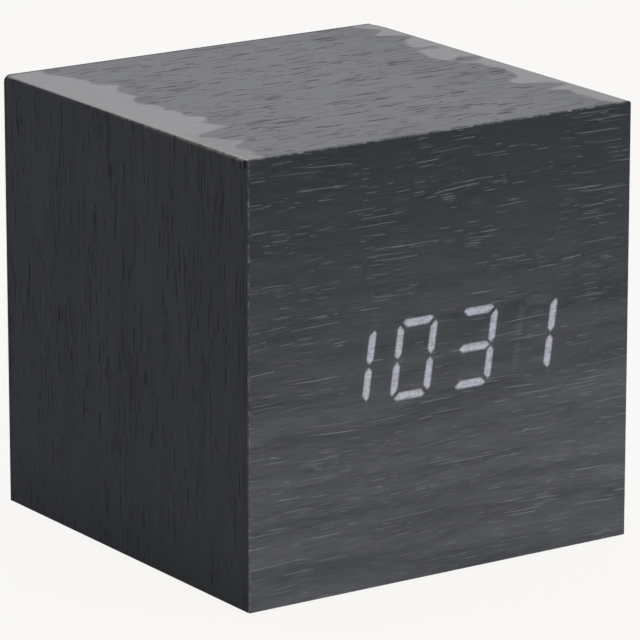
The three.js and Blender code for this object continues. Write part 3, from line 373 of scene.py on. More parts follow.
def vector(*parts):
    return read(node(tree_of(*parts), "CombineXYZ", dict(enumerate(parts))))


def stretched(parts, sizes, detail=2.0, roughness=0.5):
    """Soft random streaks, with a size of their own in millimetres along each part of the place."""
    place = vector(*(part / size for part, size in zip(parts, sizes)))
    return noise(place, 1.0, detail, roughness, flat=len(parts) == 2)


def pore_marks():
    """Open pores of the wood: short tapered dashes along the grain, scattered one to each square."""
    group, given, leave = new_group(
        "pore_marks", "Along Across Cell_Length Cell_Height Mark_Length Mark_Width Share Shift", "Mask")
    along = given["Along"] / given["Cell Length"] + given["Shift"]
    across = given["Across"] / given["Cell Height"] + given["Shift"]
    cells = node(group, "TexVoronoi", {"Vector": vector(along, across), "Scale": 1.0},
                 voronoi_dimensions="2D")
    centre, chance = parts_of(read(cells, "Position")), parts_of(read(cells, "Color"))
    reach = given["Mark Length"] * spread(chance[0], 0.0, 1.0, 0.25, 1.0)
    run = (along - centre[0]) * given["Cell Length"] / reach
    width = given["Mark Width"] * highest(1.0 - abs(run) ** PORE_TAPER, 0.0)
    away = abs((across - centre[1]) * given["Cell Height"])
    shown = chance[1] < given["Share"]
    strength = spread(chance[2], 0.0, 1.0, 0.35, 1.0)
    give(leave, Mask=spread(width - away, 0.0, PORE_SOFTNESS) * shown * strength)
    return group


def oak_pattern():
    """The grain of the veneer: long and short pores, fine fibres and wide dark bands that wave together."""
    group, given, leave = new_group("oak_pattern", "Along Across Density Seed Boldness",
                                    "Pores Fibre Bands Clusters")
    along, across = given["Along"] + given["Seed"] * SEED_STEP, given["Across"]
    slow, quick = (stretched((along, across), sizes, 1.0) for sizes in (SLOW_WAVE, QUICK_WAVE))
    level = across + (slow * SLOW_PUSH + quick * QUICK_PUSH)
    clusters = stretched((along, level), CLUSTER_SIZES)
    fibre = stretched((along, level), FIBRE_SIZES, 3.0, 0.6)
    bands = stretched((along, level), BAND_SIZES, 4.0, 0.68)
    crowd = given["Density"] * spread(clusters, 0.40, 0.64, 0.10, 1.0)
    bolder = given["Boldness"]

    def marks(length, square, share, seed, shortened=1.0):
        return use_group(pore_marks_group, Along=along, Across=level, Cell_Length=square[0],
                         Cell_Height=square[1], Mark_Length=length / shortened,
                         Mark_Width=bolder * PORE_WIDTH, Share=crowd * share, Shift=seed)["Mask"]

    open_pores = highest(marks(*LONG_PORES, bolder ** 0.75), marks(*SHORT_PORES) * SHORT_PORE_STRENGTH)
    hairs = spread(fibre, 0.60, 0.74) * (crowd * HAIR_SHARE)
    give(leave, Pores=highest(open_pores, hairs), Fibre=fibre, Bands=bands, Clusters=clusters)
    return group


def edge_distance(place, centre, half_size):
    """How far a point of a box's surface lies from the box's nearest edge, in millimetres."""
    x, y, z = (half - abs(part - middle) for part, middle, half in zip(place, centre, half_size))
    return lowest(lowest(highest(x, y), highest(y, z)), highest(x, z))


def lit_segments():
    """The display's light in the leaf: four slanted seven-segment figures that read 10 31."""
    group, given, leave = new_group("lit_segments", "X Z", "Lit Glow Unlit")
    z = given["Z"] - DISPLAY_Z
    x = given["X"] - DISPLAY_X - z * SLANT
    digit = calc("FLOOR", x / DIGIT_PITCH)
    local = x - (digit + 0.5) * DIGIT_PITCH
    height = abs(z)

    def segment(outward, along, half_length, tip):
        """How far outside a six-sided segment a point lies; negative inside."""
        flank = abs(outward) - SEGMENT_WIDTH / 2
        end = abs(along) + abs(outward - tip) - half_length
        return calc("SMOOTH_MAX", flank, end * math.sqrt(0.5), SEGMENT_ROUNDING)

    def where(wanted, distance):
        """Puts a segment far away where it isn't wanted."""
        return distance + (1.0 - wanted) * FAR_AWAY

    outward = abs(local) - DIGIT_SPAN / 2
    along = height - SEGMENT_RISE / 2
    upright = segment(outward, along, (SEGMENT_RISE - SEGMENT_GAP) / 2, (along > 0.0) * TIP_SHIFT)
    flat_half = (DIGIT_SPAN - SEGMENT_GAP) / 2
    flat = segment(height - SEGMENT_RISE, local, flat_half, TIP_SHIFT)
    middle = segment(z, local, flat_half, 0.0)
    on_right = local > 0.0
    nought, three, one = (calc("COMPARE", digit, number, 0.5) for number in (-1.0, 0.0, 1.0))
    within = abs(x) < DIGIT_PITCH * 2
    nearest = lowest(where(highest(on_right, nought), upright), where(highest(nought, three), flat))
    nearest = where(within, lowest(nearest, where(three, middle)))
    unlit = lowest(where((1.0 - on_right) * one, upright), where(one * (z > 0.0), flat))
    give(leave, Lit=spread(nearest, *LIT_EDGE, smooth=True), Glow=spread(nearest, *GLOW_EDGE, smooth=True),
         Unlit=spread(unlit, *UNLIT_EDGE, smooth=True))
    return group


def front_leaf_material(low, high):
    material, shader, place, (x, y, z) = new_material("front_veneer", FRONT_GLOSS, Emission_Strength=1.0)
    centre, half_size = (low + high) / 2 / MM, (high - low) / 2 / MM
    grain = use_group(oak_pattern_group, Along=x, Across=z, Density=spread(z, 32.0, 60.0, 1.3, 1.4),
                      Seed=FRONT_SEED, Boldness=1.0)
    fibre = grain["Fibre"]
    banded = spread(grain["Bands"], 0.32, 0.64, -0.26, 0.24) * spread(z, 62.0, 34.0, 0.3, 1.0)
    banded += spread(abs(z - DARK_BAND_Z), *DARK_BAND_SPAN, 0.0, DARK_BAND_DEPTH, smooth=True)
    wood = mix(spread(fibre, 0.25, 0.75, 0.15, 0.73) + banded, FRONT_DARK, FRONT_LIGHT)
    # Painted shade: the leaf keeps its own colour near the table and is painted darker towards its top.
    drift = z + (grain["Clusters"] - 0.5) * PAINTED_SHADE_WANDER
    painted_shade = mix(spread(drift, *PAINTED_SHADE_SPAN, smooth=True), FRONT_TOP_SHADE, UNSHADED)
    open_pores = grain["Pores"] * spread(drift, 30.0, 65.0, 0.48, 0.46)
    marked = mix(open_pores, mix(1.0, wood, painted_shade, "MULTIPLY"), PORE_LIGHT)
    # The leaf is lighter in a broken line along its edges.
    edge_breaks = noise(place, 1.6, 3.0, 0.7)
    edge_line = spread(edge_distance((x, y, z), centre, half_size), 0.3, 0.05) * spread(edge_breaks, 0.46, 0.64)
    light = use_group(lit_segments_group, X=x, Z=z)
    cloth = noise(place, 0.55, 3.0, 0.6)
    through = spread(fibre, 0.2, 0.8, 0.62, 1.22) * spread(cloth, 0.3, 0.7, 0.62, 1.25)
    # Painted glow: the unlit segments also glow faintly, though no lamp lights them.
    shine = light["Lit"] * through + (light["Glow"] * GLOW_SHARE + light["Unlit"] * UNLIT_GLOW_SHARE)
    give(shader, Base_Color=mix(edge_line, marked, EDGE_LINE_TONE),
         Emission_Color=mix(shine * (y < centre[1]), UNLIT, LIT_COLOUR),
         Roughness=spread(fibre, 0.2, 0.8, 0.46, 0.6),
         Normal=bump(fibre * 0.25 - grain["Pores"], 0.35, 0.05))
    return material


def leaf_outline(low, high, radius=FOLD_RADIUS):
    """The outline of the front and rear leaves from the lower left corner on: square below, rounded above."""
    points = [(low.x, low.z), (high.x, low.z)]
    for centre_x, start in ((high.x - radius, 0.0), (low.x + radius, math.pi / 2)):
        for step in range(ARC_STEPS + 1):
            angle = start + math.pi / 2 * step / ARC_STEPS
            points.append((centre_x + radius * math.cos(angle), high.z - radius + radius * math.sin(angle)))
    return points


def lofted(name, sections):
    """A closed body through outlines in X and Z, each at its Y, anticlockwise as seen from the front."""
    mesh = bpy.data.meshes.new(name)
    count = len(sections[0][1])
    points = [(x, y, z) for y, outline in sections for x, z in outline]
    faces = [tuple(range(count)), tuple(range(len(points) - 1, len(points) - count - 1, -1))]
    for start in range(0, len(points) - count, count):
        for i in range(count):
            after = (i + 1) % count
            faces.append((start + i, start + i + count, start + after + count, start + after))
    mesh.from_pydata(points, [], faces)
    mesh.shade_smooth()
    return new_object(name, mesh)


def eased(piece, radius, segments=3):
    """Rounds the sharp edges of a piece a little, as handling and paint do."""
    set_up(piece.modifiers.new("eased_edges", "BEVEL"), width=radius, segments=segments,
           limit_method="ANGLE", angle_limit=SHARP)
    piece.modifiers.new("flat_faces", "WEIGHTED_NORMAL").keep_sharp = True
    return piece


def stand_for(piece, slot, body, *nodes):
    """The piece takes the place of the model's own nodes and moves with their body."""
    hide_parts(*nodes)
    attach(piece, body)


pore_marks_group = pore_marks()
oak_pattern_group = oak_pattern()
lit_segments_group = lit_segments()
front_low, front_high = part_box("front_veneer")
front_sections = [(y, leaf_outline(front_low, front_high)) for y in (front_low.y, front_high.y)]
front_leaf = eased(lofted("front_leaf", front_sections), EDGE_RADIUS)
dress(front_leaf_material(front_low, front_high), front_leaf)
stand_for(front_leaf, "veneer", "housing", "front_veneer")

# Wrap veneer: one strip of the same pattern, folded over the left side, the top and the right side, its grain
# running along it. It is glued down and lacquered, and the lacquer lies thicker towards the folds of the top,
# where it fills the pores. The top is painted a lighter grey as a painted sheen, most in these patches, and a
# painted highlight runs along the folds. The folds are rubbed rounder at their far ends.
WRAP_DARK = (0.0148, 0.0156, 0.0190, 1)
WRAP_LIGHT = (0.0275, 0.0288, 0.0330, 1)
# Painted shade: the pores of the wrap and rear leaves, and the smudges on the top, are painted near black as
# the shade in their grooves.
PORE_SHADE = (0.0060, 0.0062, 0.0070, 1)
# A light grey painted over the top as a painted sheen.
SHEEN_GREY = (0.116, 0.115, 0.118, 1)
TOP_SHEEN_SHARES = (0.45, 0.36)
SMUDGE_SHARE = 0.3
LEFT_PATCH_EDGE = (0.6, -0.6)
RIGHT_PATCH_EDGE = (4.8, 3.4)
PATCH_RAGGEDNESS = 19.0
PATCH_SIZES = (12.0, 8.5)
PATCH_SHIFTS = (296.0, 555.0)
TOP_ROUGHNESS = 0.42
SIDE_ROUGHNESS = 0.55
TOP_BOLDNESS = 2.6
SIDE_BOLDNESS = 1.5
VENEER_GLOSS = 0.09
WRAP_SEED = 2.0
SIDE_SHIFT = 200.0
# A warm light colour painted along the folds as a painted highlight.
FOLD_HIGHLIGHT = (0.30, 0.285, 0.265, 1)
MITRE_SHADOW = (0.003, 0.003, 0.003, 1)
MITRE_GAP = 1.5
VENEER = 0.6 * MM
WRAP_EDGE = 0.06 * MM
WORN_RADIUS = 1.25 * MM
WORN_REACH = 5.0 * MM
WORN_STEPS = 6


def stained_oak_with_painted_shade(along, across, height, density, boldness):
    """The pattern's grain with its colour before the pores; the colour is painted darker towards the table,
    as painted shade.
    """
    grain = use_group(
        oak_pattern_group, Along=along, Across=across, Density=density, Seed=WRAP_SEED, Boldness=boldness)
    tone = spread(grain["Fibre"], 0.25, 0.75, 0.0, 0.6) + spread(grain["Bands"], 0.35, 0.65, 0.0, 0.4)
    # Painted shade: darker over the lowest twelve millimetres.
    return grain, mix(tone * spread(height, 2.0, 12.0, 0.3, 1.0), WRAP_DARK, WRAP_LIGHT)


def varnish(shader, colour, fibre, pores, roughness):
    """The lacquered surface: it follows the fibres, and sinks into the pores and dulls there."""
    give(shader, Base_Color=colour, Roughness=roughness + spread(fibre, 0.2, 0.8, 0.0, 0.1) + pores * 0.3,
         Normal=bump(fibre * 0.2 - pores, 0.9, 0.17))


def wrap_material(low, high):
    material, shader, place, (x, y, z) = new_material("wrap_veneer", VENEER_GLOSS)
    from_left, from_right, from_top = x - low.x / MM, high.x / MM - x, high.z / MM - z
    from_side = lowest(from_left, from_right)
    on_top = from_top < from_side
    on_side = 1.0 - on_top
    along = on_top * x + on_side * (z + calc("SIGN", x) * SIDE_SHIFT)
    density = on_side * spread(z, 8.0, 42.0, 1.1, 2.3) + on_top * spread(y, -10.0, 38.0, 1.5, 0.9)
    boldness = spread(on_top, 0.0, 1.0, SIDE_BOLDNESS, TOP_BOLDNESS)
    grain, wood = stained_oak_with_painted_shade(along, y, z, density, boldness)
    patch_y = y + spread(x, -1.0, 1.0, *PATCH_SHIFTS)
    ragged = (stretched((x, patch_y), PATCH_SIZES, 1.5) - 0.5) * PATCH_RAGGEDNESS
    left_reach = ragged + spread(y, -42.0, -8.0, 1.5, 9.0)
    left_patches = spread(from_left - left_reach, *LEFT_PATCH_EDGE) * spread(y, -24.0, -16.0, 0.7, 1.0)
    right_patches = spread(from_right + ragged, *RIGHT_PATCH_EDGE, 0.0, 0.9)
    # Patches of thicker lacquer: their pores are filled, and they are painted light grey as a painted sheen.
    lacquer_and_sheen = highest(left_patches, right_patches) * on_top
    smudges = spread(stretched((along, y), (7.0, 1.2), 3.0, 0.6), 0.56, 0.74) * (on_top * SMUDGE_SHARE)
    pores = highest(grain["Pores"] * (1.0 - lacquer_and_sheen * 0.9) * 0.92, smudges)
    # Painted sheen: the top face is painted lighter grey, a little less towards the right.
    top_sheen = mix(on_top * spread(x, 15.0, 38.0, *TOP_SHEEN_SHARES), wood, SHEEN_GREY)
    marked = mix(lacquer_and_sheen, mix(pores, top_sheen, PORE_SHADE), SHEEN_GREY)
    from_fold = highest(from_side, from_top)
    # Painted highlight: a broken light line along the folds, strongest towards the front.
    highlight_breaks = spread(noise(place, 1.6, 3.0, 0.7), 0.3, 0.65) * spread(y, 10.0, -34.0, 0.05, 0.5)
    layered = mix(spread(from_fold, 0.7, 0.25) * highlight_breaks, marked, FOLD_HIGHLIGHT)
    in_front = y - low.y / MM < MITRE_GAP / 2
    colour = mix((from_fold < MITRE_GAP) * in_front * on_side, layered, MITRE_SHADOW)
    varnish(shader, colour, grain["Fibre"], pores, spread(on_top, 0.0, 1.0, SIDE_ROUGHNESS, TOP_ROUGHNESS))
    return material


def strip_outline(low, high, wear):
    """The strip's section: the leaf's outline outside, rounder with wear, and the boards' outline inside."""
    outer = leaf_outline(low, high, FOLD_RADIUS + (WORN_RADIUS - FOLD_RADIUS) * wear)
    left, right, top = low.x + VENEER, high.x - VENEER, high.z - VENEER
    return [outer[0], (left, low.z), (left, top), (right, top), (right, low.z), *outer[1:]]


wrap_low, wrap_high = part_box("wrap_veneer")
wrap_sections = [(wrap_low.y, strip_outline(wrap_low, wrap_high, 0))]
for step in range(WORN_STEPS + 1):
    share = step / WORN_STEPS
    outline = strip_outline(wrap_low, wrap_high, share ** 2)
    wrap_sections.append((wrap_high.y - WORN_REACH * (1 - share), outline))
wrap_strip = eased(lofted("wrap_strip", wrap_sections), WRAP_EDGE, 2)
dress(wrap_material(wrap_low, wrap_high), wrap_strip)
stand_for(wrap_strip, "veneer", "housing", "wrap_veneer")

# Rear veneer: a leaf of the same veneer, glued over the rear wall, with its grain running across.
# It is punched for the buttons, the slide knob, the plug and the sound.
REAR_DENSITY = 2.2
CORNER_STEPS = 12
PUNCHED_EDGE = 0.06 * MM
SEAM = 1e-7
# Each hole's centre in X and Z, width, height and corner radius.
REAR_HOLES = (
    (12.0, 57.49, 5.6, 5.6, 2.8),
    (0.0, 57.49, 5.6, 5.6, 2.8),
    (-12.0, 57.49, 5.6, 5.6, 2.8),
    (14.0, 41.49, 5.6, 3.0, 0.02),
    (2.5, 41.49, 2.0, 2.0, 1.0),
    (-11.0, 41.49, 13.0, 9.0, 2.0),
)


def rear_material():
    material, shader, _, (x, _, z) = new_material("rear_veneer", VENEER_GLOSS)
    grain, wood = stained_oak_with_painted_shade(x, z, z, REAR_DENSITY, SIDE_BOLDNESS)
    pores = grain["Pores"]
    varnish(shader, mix(pores, wood, PORE_SHADE), grain["Fibre"], pores, SIDE_ROUGHNESS)
    return material


def rounded_rectangle(centre_x, centre_z, width, height, radius):
    """A rectangle's outline in metres from sizes in millimetres, its corners rounded."""
    points = []
    for quarter, (side_x, side_z) in enumerate(((1, 1), (-1, 1), (-1, -1), (1, -1))):
        for step in range(CORNER_STEPS + 1):
            angle = math.pi / 2 * (quarter + step / CORNER_STEPS)
            x = centre_x + side_x * (width / 2 - radius) + radius * math.cos(angle)
            z = centre_z + side_z * (height / 2 - radius) + radius * math.sin(angle)
            points.append((x * MM, z * MM))
    return points


def as_mesh(name, source):
    """Keeps what a curve or modifiers make as a plain piece, and takes their object away."""
    mesh = bpy.data.meshes.new_from_object(source.evaluated_get(bpy.context.evaluated_depsgraph_get()))
    mesh.name = name
    bpy.data.objects.remove(source)
    return new_object(name, mesh)


def keep(build, mesh):
    """Writes a worked shape into a mesh."""
    build.to_mesh(mesh)
    build.free()
    return mesh


def punched_leaf(name, outlines, front_y, back_y):
    """A flat leaf in X and Z with holes, all its edges eased; the first outline is the leaf's own."""
    drawing = set_up(
        bpy.data.curves.new(name, "CURVE"), dimensions="2D", fill_mode="BOTH", bevel_depth=PUNCHED_EDGE,
        bevel_resolution=2, offset=-PUNCHED_EDGE, extrude=(back_y - front_y) / 2 - PUNCHED_EDGE)
    for outline in outlines:
        spline = drawing.splines.new("POLY")
        spline.points.add(len(outline) - 1)
        for point, (x, z) in zip(spline.points, outline):
            point.co = (x, z, 0, 1)
        spline.use_cyclic_u = True
    piece = as_mesh(name, new_object(name, drawing))
    for vertex in piece.data.vertices:
        x, z, depth = vertex.co
        vertex.co = (x, (front_y + back_y) / 2 - depth, z)
    build = bmesh.new()
    build.from_mesh(piece.data)
    bmesh.ops.remove_doubles(build, verts=build.verts, dist=SEAM)
    bmesh.ops.recalc_face_normals(build, faces=build.faces)
    keep(build, piece.data)
    return piece


rear_low, rear_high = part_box("rear_veneer")
rear_outlines = [leaf_outline(rear_low, rear_high, WORN_RADIUS)]
rear_outlines += [rounded_rectangle(*hole) for hole in REAR_HOLES]
rear_leaf = punched_leaf("rear_leaf", rear_outlines, rear_low.y, rear_high.y)
dress(rear_material(), rear_leaf)
stand_for(rear_leaf, "veneer", "housing", "rear_veneer")

# Corner blocks: four sawn softwood posts with their grain upright. They are glued into the corners, and the
# base screws bite into them.
PINE_LIGHT = (0.55, 0.38, 0.2, 1)
PINE_DARK = (0.33, 0.19, 0.085, 1)
RING_WIDTH = 1.1


def pine():
    material, shader, _, (x, y, z) = new_material("pine", 0.3)
    bend = stretched((x, y, z), (5.0, 5.0, 30.0))
    ring = x + y * 0.4 + bend * 3.0
    late_wood = spread(calc("PINGPONG", ring, RING_WIDTH), RING_WIDTH / 2, RING_WIDTH, smooth=True)
    fibres = stretched((x, y, z), (0.15, 0.15, 4.0))
    tone = late_wood * 0.75 + spread(fibres, 0.3, 0.7, 0.0, 0.3)
    give(shader, Base_Color=mix(tone, PINE_LIGHT, PINE_DARK), Roughness=spread(fibres, 0.3, 0.7, 0.7, 0.9),
         Normal=bump(fibres, 0.4, 0.08))
    return material


dress(pine(), *[f"corner_block_{index}" for index in (1, 2, 3, 4)])

# Light box and film: a white moulded block with a slanted well for each segment, and a milky film over them
# that glows where the display lights it from behind.
WHITE = (0.72, 0.72, 0.71, 1)
FILM = (0.62, 0.63, 0.68, 1)
LIT_FILM = (1, 1, 1, 1)
PLASTIC_GLOSS = 0.45
MOULD_DEPTH = 0.03


def moulded_surface():
    """What moulding leaves on plastic: a fine spark-cut grain, slow streaks of flow, and a little dust."""
    _, given, leave = new_group("moulded_surface", "Place:Vector Grain", "Tone Dull Height")
    place = given["Place"]
    sparks = noise(scaled(place, 1.0 / given["Grain"]), 1.0, 2.0, 0.6)
    flow = noise(place, 11.0)
    dust = spread(noise(place, 0.9, 4.0, 0.75), 0.6, 0.78)
    tone = spread(flow, 0.3, 0.7, 0.1, 0.5) + spread(sparks, 0.3, 0.7, 0.0, 0.25) + dust * 0.45
    give(leave, Tone=tone, Dull=spread(sparks, 0.3, 0.7, 0.2, 0.7) + dust * 0.5, Height=sparks)
    return leave[0].id_data


def shade(colour, share):
    """The same colour, darker or lighter."""
    return tuple(min(part * share, 1.0) for part in colour[:3]) + (1.0,)


def finished(name, group, sizes, colours, roughness, relief, depth, **fixed):
    """A material with a fine surface all over; also gives its sockets, colour and place, for more on top."""
    material, shader, place, parts = new_material(name, **fixed)
    surface = use_group(group, Place=place, **sizes)
    plain = mix(surface["Tone"], *colours)
    give(shader, Base_Color=plain, Roughness=spread(surface["Dull"], 0.0, 1.0, *roughness),
         Normal=bump(surface["Height"], relief, depth))
    return material, shader, plain, place, parts


def moulded(name, colour, roughness=0.45, grain=0.3, relief=0.3, contrast=0.25):
    """Moulded plastic or rubber; grain is the size of the mould's spark marks in millimetres."""
    colours = shade(colour, 1 - contrast), shade(colour, 1 + contrast * 2)
    return finished(name, moulded_surface_group, {"Grain": grain}, colours,
                    (roughness - 0.08, roughness + 0.12), relief, MOULD_DEPTH, gloss=PLASTIC_GLOSS)


def glowing_film():
    material, shader, _, _, (x, _, z) = moulded("milky_film", FILM, 0.6, grain=0.15)
    light = use_group(lit_segments_group, X=x, Z=z)
    give(shader, Emission_Color=mix(light["Lit"], UNLIT, LIT_FILM), Emission_Strength=1.0)
    return material


moulded_surface_group = moulded_surface()
white_plastic = moulded("white_plastic", WHITE, 0.4)[0]
dress(white_plastic, "display_reflector")
dress(glowing_film(), "diffuser_film")

# Circuit boards: green glass-fibre boards. Copper tracks show as lighter lines under the lacquer, and end in
# tinned pads. The main one carries the chip, the crystal and the plug strips, and the display's small lamps.
BOARD_GREEN = (0.008, 0.075, 0.03, 1)
TRACK_GREEN = (0.022, 0.15, 0.06, 1)
BOARD_EDGE = (0.30, 0.27, 0.12, 1)
TINNED = (0.55, 0.55, 0.54, 1)
CHIP_BLACK = (0.015, 0.015, 0.016, 1)
CRYSTAL_CASE = (0.5, 0.5, 0.5, 1)
LAMP_YELLOW = (0.8, 0.68, 0.22, 1)
BOARD = 1.6
DISPLAY_BOARD_Y = -34.0
TRACK_PITCH = 1.27
TRACK_EDGE = (0.2, 0.14)
TRACK_SHARE = 0.55
TRACK_STAGGER = 0.37
PAD_PITCH = 3.1
PAD_EDGE = (0.15, 0.12)
SKIN = 0.02
# What sticks out of each board: its X from and to, whether in front, its colour, and whether it is metal.
MAIN_PARTS = (
    (-20.0, 0.0, True, WHITE, 0.0),
    (4.0, 14.0, True, CHIP_BLACK, 0.0),
    (17.0, 21.0, True, CRYSTAL_CASE, 1.0),
)
DISPLAY_PARTS = (
    (-40.0, 40.0, True, LAMP_YELLOW, 0.0),
    (-40.0, 40.0, False, WHITE, 0.0),
)


def circuit_tracks():
    """Tracks in short straight stretches along and across a board, and round pads where they meet."""
    group, given, leave = new_group("circuit_tracks", "Along Across", "Tracks Pads")

    def stretch(first, second, length, seed):
        lanes = second / TRACK_PITCH
        lane = calc("FLOOR", lanes)
        block = calc("FLOOR", first / length + lane * TRACK_STAGGER)
        chance = node(group, "TexWhiteNoise", {"Vector": vector(lane + seed, block)},
                      noise_dimensions="2D")
        off = abs(calc("FRACT", lanes) - 0.5)
        return spread(off, *TRACK_EDGE) * (read(chance) < TRACK_SHARE)

    along, across = given["Along"], given["Across"]
    spots = node(group, "TexVoronoi",
                 {"Vector": vector(along, across), "Scale": 1 / PAD_PITCH, "Randomness": 0.75},
                 voronoi_dimensions="2D")
    give(leave, Tracks=highest(stretch(along, across, 7.0, 3.0), stretch(across, along, 5.0, 17.0)),
         Pads=spread(read(spots, "Distance"), *PAD_EDGE))
    return group


def inside(value, low, high):
    """1 between two limits, and 0 outside them."""
    return (value > low) * (value < high)


def circuit_board(name, front, parts):
    """A board's own faces lie its thickness apart; what sticks out is a part, told apart by its X."""
    material, shader, place, (x, y, z) = new_material(name)
    drawn = use_group(circuit_tracks_group, Along=x, Across=z)
    tracks, pads = drawn["Tracks"], drawn["Pads"]
    weave = noise(place, 0.35)
    facing = parts_of(read(node(material.node_tree, "NewGeometry"), "Normal"))[1]
    on_face = abs(facing) > 0.5
    colour = mix(on_face, BOARD_EDGE, mix(pads, mix(tracks, BOARD_GREEN, TRACK_GREEN), TINNED))
    metal = pads * on_face
    for low_x, high_x, in_front, part_colour, shiny in parts:
        beyond = y < front - SKIN if in_front else y > front + BOARD + SKIN
        here = inside(x, low_x, high_x) * beyond
        colour = mix(here, colour, part_colour)
        metal = metal * (1.0 - here) + here * shiny
    give(shader, Base_Color=colour, Metallic=metal, Roughness=spread(weave, 0.3, 0.7, 0.3, 0.45),
         Normal=bump(weave * 0.3 + highest(tracks, pads), 0.4, 0.04))
    return material


circuit_tracks_group = circuit_tracks()
main_front_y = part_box("main_board")[1].y / MM - BOARD
dress(circuit_board("main_board", main_front_y, MAIN_PARTS), "main_board")
dress(circuit_board("display_board", DISPLAY_BOARD_Y, DISPLAY_PARTS), "display_board")

# Screws and spacers inside: plated steel screws hold the boards, the rear ones through white tubes that keep
# the main board off the rear wall.
STEEL = (0.46, 0.47, 0.48, 1)
NICKEL = (0.58, 0.56, 0.50, 1)
SCRATCH_DEPTH = 0.01


def plated_surface():
    """What plating shows close by: hair-fine scratches, and a haze where hands and tools have been."""
    _, given, leave = new_group("plated_surface", "Place:Vector", "Tone Dull Height")
    hairs = stretched(parts_of(given["Place"]), (1.6, 0.06, 0.5))
    haze = noise(given["Place"], 1.8, 3.0, 0.65)
    give(leave, Tone=spread(haze, 0.3, 0.75, 0.0, 0.7) + spread(hairs, 0.3, 0.7, 0.0, 0.3),
         Dull=spread(haze, 0.35, 0.7, 0.0, 0.6) + spread(hairs, 0.35, 0.65, 0.0, 0.4), Height=hairs)
    return leave[0].id_data


def plated(name, colour, roughness=0.28):
    """Plated metal."""
    return finished(name, plated_surface_group, {}, (shade(colour, 0.75), shade(colour, 1.12)),
                    (roughness - 0.06, roughness + 0.2), 0.15, SCRATCH_DEPTH, Metallic=1.0)


plated_surface_group = plated_surface()
steel = plated("plated_steel", STEEL)[0]
dress(steel, "display_screw_1", "display_screw_2", "board_screw_1", "board_screw_2")
dress(white_plastic, "board_spacer_1", "board_spacer_2")

# Push switches: black moulded bodies with a white plunger, one for each button. They are soldered on the main
# board.
SWITCH_BLACK = (0.015, 0.015, 0.017, 1)
BUTTONS = ("set", "up", "down")
switch_black = moulded("switch_black", SWITCH_BLACK, 0.5)[0]
dress(switch_black, *[f"{name}_switch" for name in BUTTONS])
dress(white_plastic, *[f"{name}_plunger" for name in BUTTONS])

# Button caps: three round moulded caps, each with a flange that keeps it inside the wall and a hollowed end
# for the finger.
CAP_BLACK = (0.021, 0.022, 0.025, 1)
CAP_STEM = 2.5
CAP_FLANGE = 3.9
CAP_FLANGE_DEPTH = 1.4
CAP_EDGE = 0.1
CAP_FILLET = 0.12
CAP_LIP = 0.4
CAP_DISH = 0.22
CAP_STEPS = 8


def turned(name, profile, centre, axis="Y", steps=64):
    """A round piece from pairs of radius and distance along its axis, in millimetres, from pole to pole."""
    build = bmesh.new()

    def corner(radius, along, step):
        angle = 2 * math.pi * step / steps
        across, upright = radius * math.cos(angle), radius * math.sin(angle)
        off = (across, along, upright) if axis == "Y" else (across, upright, along)
        return build.verts.new((Vector(centre) + Vector(off)) * MM)

    rings = [[corner(radius, along, step) for step in range(steps if radius else 1)]
             for radius, along in profile]
    for first, second in zip(rings, rings[1:]):
        for step in range(steps):
            after = (step + 1) % steps
            if len(first) == 1:
                build.faces.new((first[0], second[step], second[after]))
            elif len(second) == 1:
                build.faces.new((first[after], first[step], second[0]))
            else:
                build.faces.new((first[after], first[step], second[step], second[after]))
    bmesh.ops.recalc_face_normals(build, faces=build.faces)
    mesh = keep(build, bpy.data.meshes.new(name))
    mesh.shade_smooth()
    return new_object(name, mesh)


def cap_profile(low, high):
    """From the plunger to the end: the flange, the stem, its rounded lip and the shallow hollow."""
    top = low + CAP_FLANGE_DEPTH
    flat = CAP_FLANGE - CAP_EDGE
    points = [(0, low), (flat, low), (CAP_FLANGE, low + CAP_EDGE), (CAP_FLANGE, top - CAP_EDGE), (flat, top)]
    points += [(CAP_STEM + CAP_FILLET, top), (CAP_STEM, top + CAP_FILLET)]
    face = CAP_STEM - CAP_LIP
    for step in range(CAP_STEPS + 1):
        angle = math.pi / 2 * step / CAP_STEPS
        points.append((face + CAP_LIP * math.cos(angle), high - CAP_LIP + CAP_LIP * math.sin(angle)))
    for step in range(1, CAP_STEPS):
        share = step / CAP_STEPS
        points.append((face * (1 - share), high - CAP_DISH * math.sin(math.pi / 2 * share)))
    return points + [(0, high - CAP_DISH)]


cap_black = moulded("cap_black", CAP_BLACK, 0.38, grain=0.22, relief=0.35)[0]
for name in BUTTONS:
    low, high = (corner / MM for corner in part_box(f"{name}_button"))
    middle = ((low.x + high.x) / 2, 0.0, (low.z + high.z) / 2)
    cap = turned(f"{name}_cap", cap_profile(low.y, high.y), middle)
    dress(cap_black, cap)
    stand_for(cap, "cap_plastic", f"{name}_key", f"{name}_button")

# Slide switch and its knob: a folded steel can on the main board, and a grooved moulded knob that reaches out
# of the slot.
KNOB_EDGE = 0.12 * MM
SAME_POINT = 1e-6
SAME_FACE = math.radians(0.5)


def refined(name, source, edge):
    """A finer copy of a node: the same shape with its flat faces joined and its edges eased."""
    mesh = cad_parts[source].data.copy()
    mesh.name = name
    build = bmesh.new()
    build.from_mesh(mesh)
    bmesh.ops.remove_doubles(build, verts=build.verts, dist=SAME_POINT)
    bmesh.ops.dissolve_limit(build, angle_limit=SAME_FACE, verts=build.verts, edges=build.edges)
    keep(build, mesh).shade_smooth()
    return eased(new_object(name, mesh), edge, 2)


dress(steel, "sound_switch")
slide_knob = refined("slide_knob", "sound_knob", KNOB_EDGE)
dress(cap_black, slide_knob)
stand_for(slide_knob, "cap_plastic", "sound_slider", "sound_knob")

